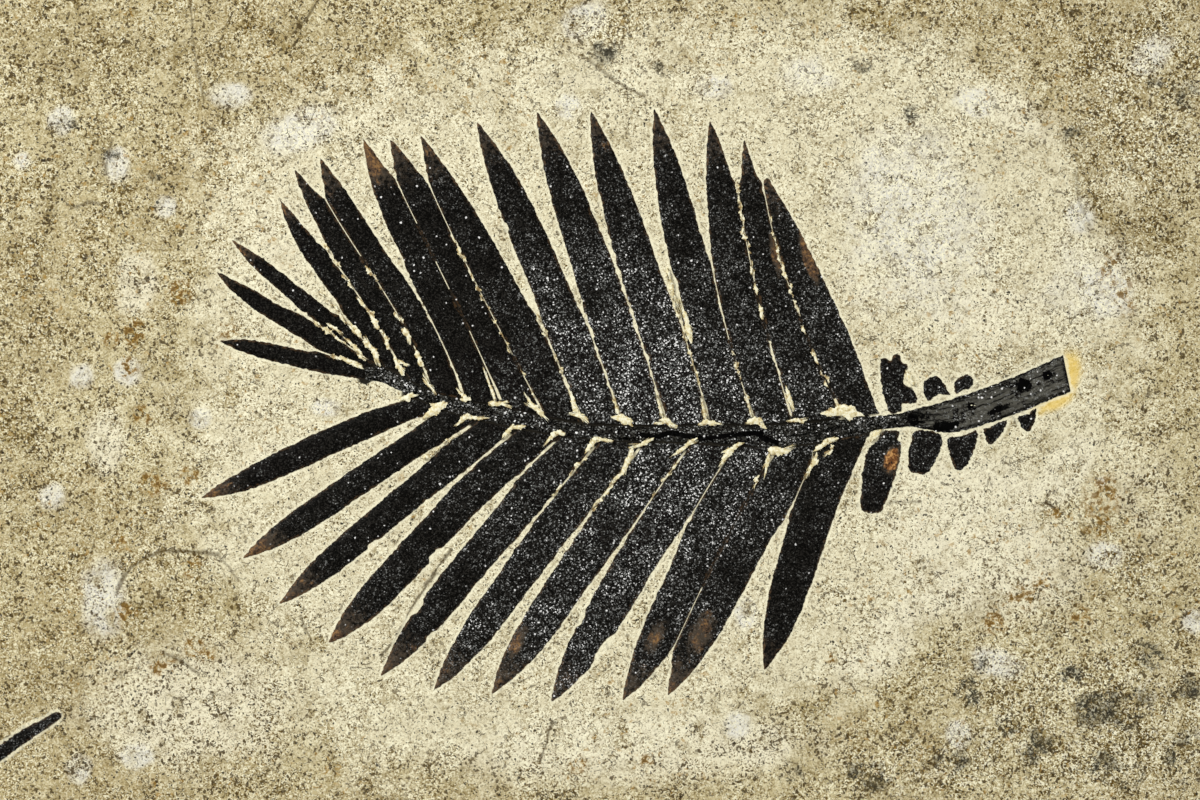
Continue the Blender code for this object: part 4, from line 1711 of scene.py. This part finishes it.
@dataclass
class Matrix:
    """The crumbs of matrix left in the axils and along the seams, as one piece."""

    maker: FilmMaker
    crumbs: Sequence[Crumb]
    root: float = 16.0
    rim: float = 16.56
    crown: float = 16.84

    def build(self, finish: Material) -> Object:
        """Build all crumbs in one mesh.

        Args:
            finish: Their material.

        Returns:
            The piece.
        """
        shaker = random.Random(SEED)
        joined = bmesh.new()
        joined.verts.layers.float.new("edge_depth")
        for index, crumb in enumerate(self.crumbs):
            outline = crumb.outline(shaker)
            scrap = self.maker.patch(outline, self.root, self.rim, self.crown, 40.0 + index)
            layer = scrap.verts.layers.float.new("edge_depth")
            line = Line(outline, closed=True, fineness=self.maker.roundness)
            for vertex, value in zip(scrap.verts, nearest(plan_of(scrap), line.spaced(0.1, 12))):
                vertex[layer] = float(value)
            holder = to_mesh(scrap, "crumb")
            joined.from_mesh(holder)
            bpy.data.meshes.remove(holder)
        depth = joined.verts.layers.float["edge_depth"]
        edge = np.array([vertex[depth] for vertex in joined.verts])
        joined.verts.layers.float.remove(depth)
        piece = finish_piece(joined, "matrix_crumbs", [finish])
        paint(piece.data, "edge", edge)
        return piece


@dataclass
class Studio:
    """Pale floor, soft light from the upper left and a camera straight above the slab."""

    view_width: float = 228.0
    leaf_level: float = 16.2
    lens: float = 100.0
    sensor: float = 36.0
    floor_side: float = 6.0
    floor_drop: float = 0.0004
    key_power: float = 12.7
    fill: float = 0.445

    def floor(self) -> None:
        """Lay the floor."""
        builder = bmesh.new()
        bmesh.ops.create_grid(builder, x_segments=4, y_segments=4, size=self.floor_side / 2)
        bmesh.ops.translate(builder, vec=(0, 0, -self.floor_drop), verts=builder.verts)
        mesh = to_mesh(builder, "studio_floor")
        mesh.materials.append(Plaster().make())
        into_scene("studio_floor", mesh)

    def lamp(self, name: str, place: Sequence[float], side: float, power: float) -> None:
        """Hang one soft lamp that looks at the slab.

        Args:
            name: The lamp's name.
            place: Where it hangs, in metres.
            side: Its width in metres.
            power: Its power in watts.
        """
        light = bpy.data.lights.new(name, "AREA")
        light.shape = "DISK"
        light.size = side
        light.energy = power
        lamp = into_scene(name, light)
        lamp.location = place
        lamp.rotation_euler = Vector(place).to_track_quat("Z", "Y").to_euler()

    def camera(self) -> None:
        """Set the camera over the middle of the slab."""
        data = bpy.data.cameras.new("camera")
        data.lens = self.lens
        data.sensor_width = self.sensor
        data.clip_start = 0.01
        camera = into_scene("camera", data)
        height = self.leaf_level + self.view_width * self.lens / self.sensor
        camera.location = (0.0, 0.0, height * MM)
        bpy.context.scene.camera = camera

    def set_up(self) -> None:
        """Put up the whole studio."""
        self.floor()
        self.lamp("key_light", (-0.75, 0.62, 0.85), 0.5, self.key_power)
        self.lamp("fill_light", (0.9, -0.5, 1.1), 1.2, self.key_power * 0.25)
        world = bpy.data.worlds.new("studio")
        world.use_nodes = True
        backdrop = world.node_tree.nodes["Background"]
        backdrop.inputs["Color"].default_value = (0.98, 0.98, 1.0, 1.0)
        backdrop.inputs["Strength"].default_value = self.fill
        bpy.context.scene.world = world
        bpy.context.scene.view_settings.view_transform = "Standard"
        self.camera()


# ----------------------------------------------------------------- what this slab looks like

STAINS = {
    Tint.COOL: marks(
        (-102.4, 53.2, 3.5), (-91.8, 45, 3.4, 4.4), (-109.8, 45.4, 2.4), (-57, 51.3, 9.5, 5, 20),
        (-82.5, 36.7, 2.6), (-3, 72.2, 6.5, 4, 30), (21.7, 59.5, 4.5, 3), (-6.1, 56, 3.2),
        (52.4, 44.5, 4, 5), (56.4, 37.2, 6, 8.5), (62.7, 30, 7, 9, 20, 0.9), (70.9, 56.6, 5, 4),
        (104.9, 65.3, 6, 4, 40), (91.2, 34.8, 3.4, 4.2), (96, 20.9, 7.5, 8, 0, 0.9),
        (-89.9, 5.3, 3.4), (-98.4, 4.4, 3.2), (-75.8, -3.4, 2.6), (-104.3, -18.1, 3.2),
        (-52.4, -1.5, 3.5, 2.4), (-94.8, -37.6, 5.4, 10.5, 0, 0.95), (-99, -70.3, 3, 4),
        (-87.8, -67.8, 4.4, 3.2), (26, -61.6, 3.4), (27.4, -40.7, 3.2, 4),
        (74.9, -50, 6.5, 3.6, -15), (68, -63.5, 3, 3.6), (112.7, -42.2, 3),
        (96.1, -29.4, 4.4, 3.2), (40, 62, 8, 5, 0, 0.7), (-70, 58, 5, 3), (95.3, -15.6, 1.1),
        (60, 34, 19, 25, 12, 0.72), (93, 22, 15, 12, 0, 0.55),
    ),
    Tint.BROWN: marks(
        (104, 64, 20, 20, 0, 0.3), (93, 42, 4, 9, 20), (104, 32, 9, 9), (-100, 66, 26, 14, 0, 0.6),
        (106.8, -8.4, 8, 14, 0, 0.4), (-83.6, -43, 11, 9, 0, 0.4), (-108, 30, 9, 20, 0, 0.6),
        (95, -62, 26, 14, 0, 0.45), (-60, 70, 10, 5, 0, 0.7), (-110, -10, 8, 20, 0, 0.5),
        (100, -30, 8, 20, 0, 0.4),
    ),
    Tint.GREY: marks(
        (69.7, -55.7, 3, 4.4), (77.5, -61.4, 2.6, 3.6, 20), (82.7, -65.9, 4.4, 3.6, 45),
        (89.3, -52.3, 3.4, 2.2), (104.5, -48.8, 4.6, 3, -30), (99.8, -57.6, 6.6, 5.4),
        (93.1, -58.9, 4.6, 4), (111.5, -67.8, 5.6, 6.4), (100.1, -71.6, 4.6, 3.6),
        (95, -69.7, 5, 3.6), (112, -54, 4.6, 3.6), (72, -50, 2, 1.6), (51.1, -71.2, 5.4, 3.4),
        (36.1, -70.7, 3), (66, -69, 5, 3), (90.2, 50, 2.6), (0.8, 66.3, 3), (59.3, 54.7, 2.2),
        (112, 58, 5, 4, 0, 0.7), (86, -44, 2.4), (-101, 52, 2.4), (11.4, 62.9, 1.8), (50, 64, 2.4),
        (-84.4, 42.6, 2.2, 1.6), (-93, 46.4, 2, 1.4), (105, 60, 2.6, 2, 0, 0.8),
        (101, 44, 2.6, 2, 0, 0.7),
    ),
    Tint.FLAKED: marks(
        (92, -60, 34, 20, -10), (104, 56, 20, 26, 0, 0.8), (100, -34, 10, 8, 0, 0.7),
        (-85, -30, 12, 5, 0, 0.5), (62, -70, 20, 7), (2, 70, 9, 6, 0, 0.8),
        (-100, 40, 20, 26, 0, 0.3),
    ),
    Tint.RUST: marks(
        (86.3, -21.6, 1.6), (-88.3, 13.1, 2.8, 4), (-92.7, 11.6, 2.2), (-79.8, 20.3, 3),
        (-86.8, -2.9, 2.4), (-84.7, -16, 3.4), (-78.1, -14.6, 2.6), (-91.2, -27.2, 2),
        (-77.7, -31.9, 2.6), (-89.9, -40.9, 2.6), (-77.1, -46.9, 2.6), (-74.3, -48.5, 2),
        (-83, -50.4, 3.2), (-4.2, -69.3, 2.2), (8.7, -68.6, 1.8), (75.2, -42.4, 2.8),
        (43.5, -48.6, 1.8), (84, -34.4, 2.4), (91.2, -41.2, 3), (-89.6, 6, 1.8, 2.6, 0, 1.2),
        (95, -20, 5, 9, -10, 0.7), (96.5, 25, 3, 6, 0, 0.6), (-71, 12, 3, 6, 0, 0.6),
        (80, -38, 8, 3, 30, 0.6), (100, 20, 3, 6, 0, 0.6),
    ),
    Tint.CREAM: marks(
        (0, 62, 30, 8, 0, 0.4), (-88, 22, 5, 9), (66, -30, 18, 12, 0, 0.8), (30, -66, 10, 6),
        (72, 16, 14, 8, 0, 0.8), (-94, -8, 5, 8), (50, 25, 6, 12, 0, 0.7),
        (-62, -12, 8, 6, 0, 0.7), (72, -30, 26, 16, -12, 0.95), (6, -66, 46, 10, 0, 0.75),
        (-56, 30, 20, 16, 30, 0.5), (64, -37, 22, 5, 32), (88, -14, 12, 5, 50),
        (52, -49, 12, 6, 30, 0.9), (78, 55, 16, 5, -30, 0.8), (-78, -58, 28, 17, 0, 0.82),
        (70, -18, 20, 10, 0, 1), (103, -17, 12, 15, 0, 0.5),
    ),
    Tint.YELLOW: marks(
        (88.9, 4.6, 2.9, 5.6, -8), (86.6, 0.2, 5, 2.6, 24), (83.4, -1.6, 3, 2, 20, 0.7),
    ),
}

# Dark lines of the face: cracks, and ledge steps whose shadow is painted as a line; the first row
# is the arc at the lower left.
HAIRLINES = tuple(Hairline(points, strength) for strength, *points in (
    (0.72, (-92, -37), (-90.5, -33.6), (-88, -31), (-84, -29), (-80, -28.7), (-76, -29),
     (-72.6, -29.3)),
    (0.55, (-78, 76), (-77, 66), (-75.3, 57)), (0.7, (-53.4, 76), (-55.4, 73), (-58.3, 69.7)),
    (0.6, (-2, 64.5), (3, 60.6), (8.6, 57.6)), (0.75, (-9, -61), (-10, -64.6), (-11.4, -68.4)),
    (0.6, (-57, -41.2), (-54.8, -45.6)),
    (0.8, (-28.5, -28.5), (-32.3, -34.2), (-36.1, -39.9), (-39, -45.6), (-41.8, -48.5)),
    (1, (84.5, -19.4), (86.3, -20.4)), (0.45, (-72.6, -29.3), (-70.6, -31.6), (-68.8, -34.2)),
    (0.6, (-83, -48), (-79.5, -49.6), (-76.2, -52.2)),
    (0.6, (-101, 36), (-97.6, 37.4), (-94.4, 37)), (0.6, (-92.6, 49.5), (-93.6, 46), (-93.9, 43)),
    (0.5, (54.3, -19.4), (60.8, -19.4)), (0.4, (90.3, 43.7), (91, 38), (93.1, 33.4)),
))

STALK_HOLLOWS = marks(
    (80.4, 2.9, 2, 1.7, 0, 0.8), (85, 4.7, 1.3, 1.1, 0, 0.8), (70.5, -1.2, 1.2, 1, 0, 0.7),
)

STALK_SOOT = marks(
    (65.5, -5, 3.6, 1.2, 10, 0.8), (60, -3.6, 3, 2, 0, 0.6), (76, -1.6, 4, 0.9, 20, 0.6),
)

MIDRIB_SPLIT = Hairline((
    (7.6, -6.5), (10.5, -7), (13.7, -6.3), (17.1, -7), (20, -7.2), (23.8, -6.8), (27.6, -6.5),
    (29.8, -6.3), (31, -7.2), (33.3, -8),
), 1.0, 1.0)

BROWNED = marks(
    (-43, 45.2, 2.4, 4.2, 15), (-15.8, -46, 1.6, 4.5, -25, 0.7), (10.5, -45, 2, 4.4, -25, 0.62),
    (19.2, -44.1, 2.8, 5.4, -25, 0.7), (55.5, -11.3, 2, 3.3, -15, 0.95),
    (39.7, 27, 1.4, 6, 18, 1.1), (33.4, 27.5, 1.2, 5.5, 12, 0.7),
)

FILLED = {
    "leaflet_upper_15": (Notch(0.05, 1, -2, 6),),
    "leaflet_upper_16": (Notch(0.08, -1, -3, 8), Notch(0.22, -1, -0.9, 7)),
    "leaflet_lower_03": (Notch(0.62, -1, 0.5, 1.6),),
    "leaflet_lower_04": (Notch(0.55, -1, 0.6, 2),),
    "leaflet_lower_05": (Notch(0.74, 1, 0.7, 2.2), Notch(0.8, -1, 0.5, 1.5)),
    "leaflet_lower_08": (Notch(0.7, 1, 0.5, 2), Notch(0.76, -1, 0.8, 3.5)),
    "leaflet_upper_13": (Notch(0.42, -1, 0.7, 5),),
    "leaflet_upper_08": (Notch(0.5, 1, 0.4, 1.5), Notch(0.63, 1, 0.5, 1.2)),
    "leaflet_upper_10": (Notch(0.66, -1, 0.35, 1.2),),
}

SOOTED = (
    ("upper", 13, 9, 18), ("upper", 14, 16.5, 28.5), ("upper", 15, 5, 27),
    ("upper", 7, 16.5, 24.5), ("upper", 7, 31, 38.5), ("lower", 9, 4, 32), ("upper", 5, 12, 18),
    ("upper", 5, 27, 33), ("upper", 8, 9, 13), ("upper", 8, 17, 19.5),
)

DRESSES = {
    f"leaflet_{side}_{index:02d}": LeafletDress(*row)
    for side, rows in (
        ("upper", (
            (0.22, 0.27, 0.37), (0.22, 0.27, 0.42), (0.25, 0.27, 0.57), (0.28, 0.27, 0.42),
            (0.28, 0.32, 0.42), (0.3, 0.32, 0.47), (0.34, 0.32, 0.92), (0.36, 0.32, 0.47),
            (0.5, 0.32, 0.47), (0.66, 0.34, 0.42), (0.74, 0.37, 0.42), (0.74, 0.37, 0.42),
            (0.66, 0.37, 0.42), (0.6, 0.37, 0.42), (0.58, 0.37, 0.42), (0.55, 0.42, 0.42),
        )),
        ("lower", (
            (0.3, 0.32, 0.67), (0.32, 0.32, 0.92), (0.36, 0.34, 0.72), (0.42, 0.37, 0.62),
            (0.5, 0.42, 0.62), (0.6, 0.52, 0.52), (0.66, 0.57, 0.52), (0.68, 0.62, 0.42),
            (0.64, 0.52, 0.52), (0.58, 0.52, 0.62), (0.42, 0.24, 0.32),
        )),
    )
    for index, row in enumerate(rows, 1)
}

CRUMBS = tuple(Crumb(points) for points in (
    ((-47.5, 14.8, 0.6), (-46.5, 13.7, 0.9), (-45.6, 12.2, 0.8)),
    ((-44.8, 12.2, 0.6), (-44.1, 10.6, 0.9), (-42.9, 9.1, 1.1), (-42.2, 7.2, 0.8),
     (-41.8, 6.5, 0.6)),
    ((-43.3, 16, 0.6), (-42.8, 15, 1.1), (-42.2, 13.7, 0.8)),
    ((-46, 19.2, 0.6), (-45.2, 18.2, 0.8), (-44.6, 17.5, 0.4)),
    ((-41, 12.7, 0.6), (-40.5, 11.4, 0.8), (-40.1, 10.1, 0.6)),
    ((-39.1, 8.2, 0.6), (-38.6, 7, 0.9), (-37.8, 5.7, 1.5), (-37.2, 4.8, 0.9)),
    ((-38, 7.4, 0.8), (-36.9, 6.5, 0.6), (-36.3, 6.7, 0.4)),
    ((-37.4, 13.5, 0.6), (-36.7, 12.7, 0.9), (-36.1, 10.8, 0.6)),
    ((-34.8, 9.1, 0.8), (-34.2, 7.8, 0.9), (-33.8, 6.5, 0.8)),
    ((-33.6, 5.1, 0.4), (-32.9, 3.4, 0.8), (-32.1, 2.3, 0.6), (-31.4, 1.3, 0.4)),
    ((-27.4, 2.3, 0.6), (-26.4, 1.1, 0.9), (-25.6, 0.4, 0.9)),
    ((-26.4, 0.2, 0.8), (-25.5, 0, 0.9), (-24.7, 0.4, 0.6)),
    ((-38, 0.2, 0.8), (-36.9, 0.4, 1.5), (-35.7, 0.6, 1.1), (-34.6, 0.9, 0.4)),
    ((-33.4, -3.2, 0.6), (-32.3, -2.5, 1.1), (-31.2, -1.7, 1.5), (-30, -1.1, 1.1),
     (-29.1, -0.9, 0.6)),
    ((-31.9, -0.8, 0.6), (-30.8, -1.1, 0.9), (-29.6, -0.8, 0.6)),
    ((-51.7, 14.4, 0.6), (-50.4, 13.7, 0.8), (-49.2, 12.7, 0.6)),
    ((-48.5, 11.8, 0.6), (-47.1, 10.6, 0.8), (-46, 9.5, 0.9), (-45.4, 8.9, 0.6)),
    ((-49.2, 8, 0.6), (-47.5, 7.2, 0.6), (-46, 6.5, 0.8), (-45.2, 6.1, 0.4)),
    ((-27.6, -4.8, 0.6), (-26.2, -3.8, 0.9), (-25.3, -3, 0.8)),
    ((-25.5, -3, 0.9), (-24.1, -3.2, 0.8), (-22.8, -3.6, 0.6), (-21.3, -3.2, 0.6)),
    ((-18.4, -7, 0.6), (-17.3, -5.7, 0.9), (-16.5, -4.9, 0.8)),
    ((-16.9, -5.3, 0.9), (-15.4, -5.3, 0.8), (-14.1, -5.1, 0.8)),
    ((-10.4, -8.4, 0.4), (-9.5, -7.4, 0.8), (-8.6, -6.5, 0.9)),
    ((-8.9, -6.3, 1.1), (-7.8, -6.1, 1.3), (-7, -6.5, 0.8)),
    ((-2.7, -9.9, 0.6), (-1.7, -8.4, 1.1), (-0.8, -7.6, 0.9)),
    ((-1.1, -7.6, 1.1), (0.4, -7.4, 0.8), (2.1, -7.6, 0.8)),
    ((4.2, -13.9, 0.9), (5.3, -11.4, 1.1), (6.3, -9.3, 0.9)),
    ((5.7, -8.7, 0.9), (7.2, -8.7, 1.1), (8.7, -8, 0.9), (10.1, -7.2, 0.6)),
    ((13.7, -10.6, 0.4), (15, -9.7, 0.8), (16, -9.3, 0.8)),
    ((14.4, -10.1, 0.8), (16.1, -8.9, 0.9), (17.5, -8, 0.9), (18.8, -7.6, 0.6)),
    ((22.8, -12.3, 0.4), (23.9, -10.6, 0.9), (24.9, -9.5, 1.1)),
    ((23.4, -9.9, 0.6), (24.9, -9.5, 1.1), (26, -8.7, 0.9), (27.2, -8, 0.6)),
    ((31.2, -14.6, 0.4), (31.7, -12.3, 0.6), (32.1, -10.6, 0.9)),
    ((32.3, -9.7, 1.1), (33.8, -9.9, 1.5), (35.3, -9.7, 1.1), (36.7, -8.7, 0.8)),
    ((39, -14.8, 0.4), (40.1, -12.5, 0.8), (41, -10.4, 0.9)),
    ((40.9, -9.5, 0.8), (42.2, -8.6, 0.8), (43.3, -7.8, 1.1), (44.8, -7.4, 0.6)),
    ((51.7, -7.6, 0.8), (52.4, -6.7, 0.9), (53.2, -5.9, 0.6)),
    ((-22, 5.7, 0.4), (-21.3, 3.6, 0.6), (-20.5, 1.7, 0.9), (-20.1, 0, 1.1)),
    ((-20.5, -0.6, 0.9), (-19.2, -0.8, 1.1), (-17.7, -0.6, 0.9), (-16.9, -1.3, 0.6)),
    ((-14.4, 1.5, 0.4), (-13.1, -0.8, 0.8), (-12, -1.7, 0.6)),
    ((-14.1, -0.6, 0.6), (-12.5, -1.3, 0.9), (-11.2, -2.5, 0.8), (-10.1, -3.6, 0.4)),
    ((-5.7, 1.5, 0.4), (-5.1, -0.6, 0.8), (-4.6, -2.1, 0.9)),
    ((-5.5, -2.5, 0.6), (-4.2, -2.3, 1.1), (-3.2, -3, 1.1), (-2.3, -4.4, 0.6)),
    ((2.5, 1.3, 0.4), (3, -0.9, 0.6), (3.4, -2.7, 0.9)),
    ((2.7, -3.2, 0.8), (4, -3.4, 1.3), (5.3, -4.2, 1.3), (5.9, -4.8, 0.6)),
    ((10.8, 0.8, 0.4), (11.4, -1.3, 0.6), (11.8, -3, 0.9)),
    ((10.4, -4.4, 0.4), (11.8, -3.8, 1.1), (13.1, -4.2, 0.9), (14.4, -5.3, 0.8)),
    ((19.2, 0.8, 0.4), (19.6, -1.3, 0.6), (19.9, -3, 0.9)),
    ((18.8, -4.6, 0.4), (20.1, -4, 1.1), (21.5, -4.6, 0.8), (23, -4.6, 0.4)),
    ((27.9, 0.6, 0.4), (28.3, -1.3, 0.6), (28.7, -3, 0.8)),
    ((27.7, -4.4, 0.4), (29.1, -3.8, 1.3), (30.2, -4, 1.1), (31.4, -5.5, 0.6)),
    ((35.5, 2.1, 0.6), (36.1, 0.2, 0.8), (36.7, -1.9, 0.8)),
    ((35.9, -4, 0.6), (37.2, -3.8, 1.3), (38.6, -4, 0.8), (39.3, -3.6, 0.4)),
    ((42.2, -2.5, 0.6), (43.9, -2.3, 1.5), (45.6, -1.9, 2.5), (47.5, -2.5, 2.3), (49, -2.7, 1.1),
     (49.8, -2.9, 0.4)),
    ((15.2, 19, 0.4), (15.8, 17.1, 0.8), (16.3, 15.2, 1.1), (16.9, 12.9, 1.3), (17.3, 11, 0.6)),
    ((58.2, 5.4, 0.5), (58.8, 4.2, 0.9), (59.6, 3, 0.5)),
    ((12.9, 24.7, 0.4), (13.5, 21.9, 0.6), (14.1, 19.4, 0.6), (15, 16.7, 0.6)),
))

TRAILS = tuple(Trail(side, *row) for side, rows in (
    ("upper", (
        (1, 1, 7, 6, 0.5), (2, 2, 15, 14, 0.6), (3, 3, 18, 12, 0.6), (4, 9, 30, 14, 0.55),
        (5, 6, 30, 12, 0.5), (8, 33, 38, 8, 0.5), (8, 4, 30, 14, 0.28), (9, 4, 22, 10, 0.4),
        (12, 3, 24, 12, 0.45), (13, 4, 20, 8, 0.4), (14, 29, 46, 20, 0.5), (14, 19, 26, 4, 0.7),
        (15, 4, 40, 26, 0.5),
    )),
    ("lower", (
        (2, 3, 12, 6, 0.5), (5, 3, 14, 8, 0.5), (6, 4, 16, 12, 0.6), (7, 3, 12, 8, 0.4),
        (9, 3, 8, 4, 0.5), (10, 2, 9, 8, 0.6),
    )),
) for row in rows)


def main() -> None:
    """Load the frame, build every piece over it and put up the studio."""
    logging.basicConfig(level=logging.INFO, format="%(message)s")
    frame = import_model()
    nodes = frame["nodes"]
    films = [outline_of(node) for name, node in nodes.items() if name != "stone_plate"]
    soot = []
    for side, index, start, end in SOOTED:
        seam = seam_between(nodes, side, index)[int(start / SEAM_STEP):int(end / SEAM_STEP):12]
        soot.append(Hairline(tuple((x, y) for x, y, _ in seam), 1.0, 1.4))
    Slab(nodes["stone_plate"], films, marks=STAINS, hairlines=HAIRLINES, soot=soot).build()
    leaf = Leaf(nodes, FilmMaker(browned=BROWNED), DRESSES)
    leaf.build_leaflets(CarbonFilm("leaflet film").make())
    leaf.build_rachis(CarbonFilm(
        "midrib film", black=srgb(1, 1, 0), ground=srgb(54, 52, 46), glint=srgb(136, 137, 132),
        glint_size=0.22, spark_bar=0.9, rim_share=0.0, streak_share=0.7, crack_cell=4.2).make())
    leaf.build_scraps(CarbonFilm("torn film", brown=srgb(124, 76, 36),
                                 tan=srgb(216, 162, 98)).make())
    shaker = random.Random(SEED)
    strewn = [crumb for trail in TRAILS for crumb in
              trail.crumbs(seam_between(nodes, trail.side, trail.index), shaker)]
    gritty = FilmMaker(cell=0.22, wear=0.34, roundness=1)
    Matrix(gritty, [*CRUMBS, *strewn]).build(CrumbStone().make())
    Studio().set_up()


if __name__ == "__main__":
    main()
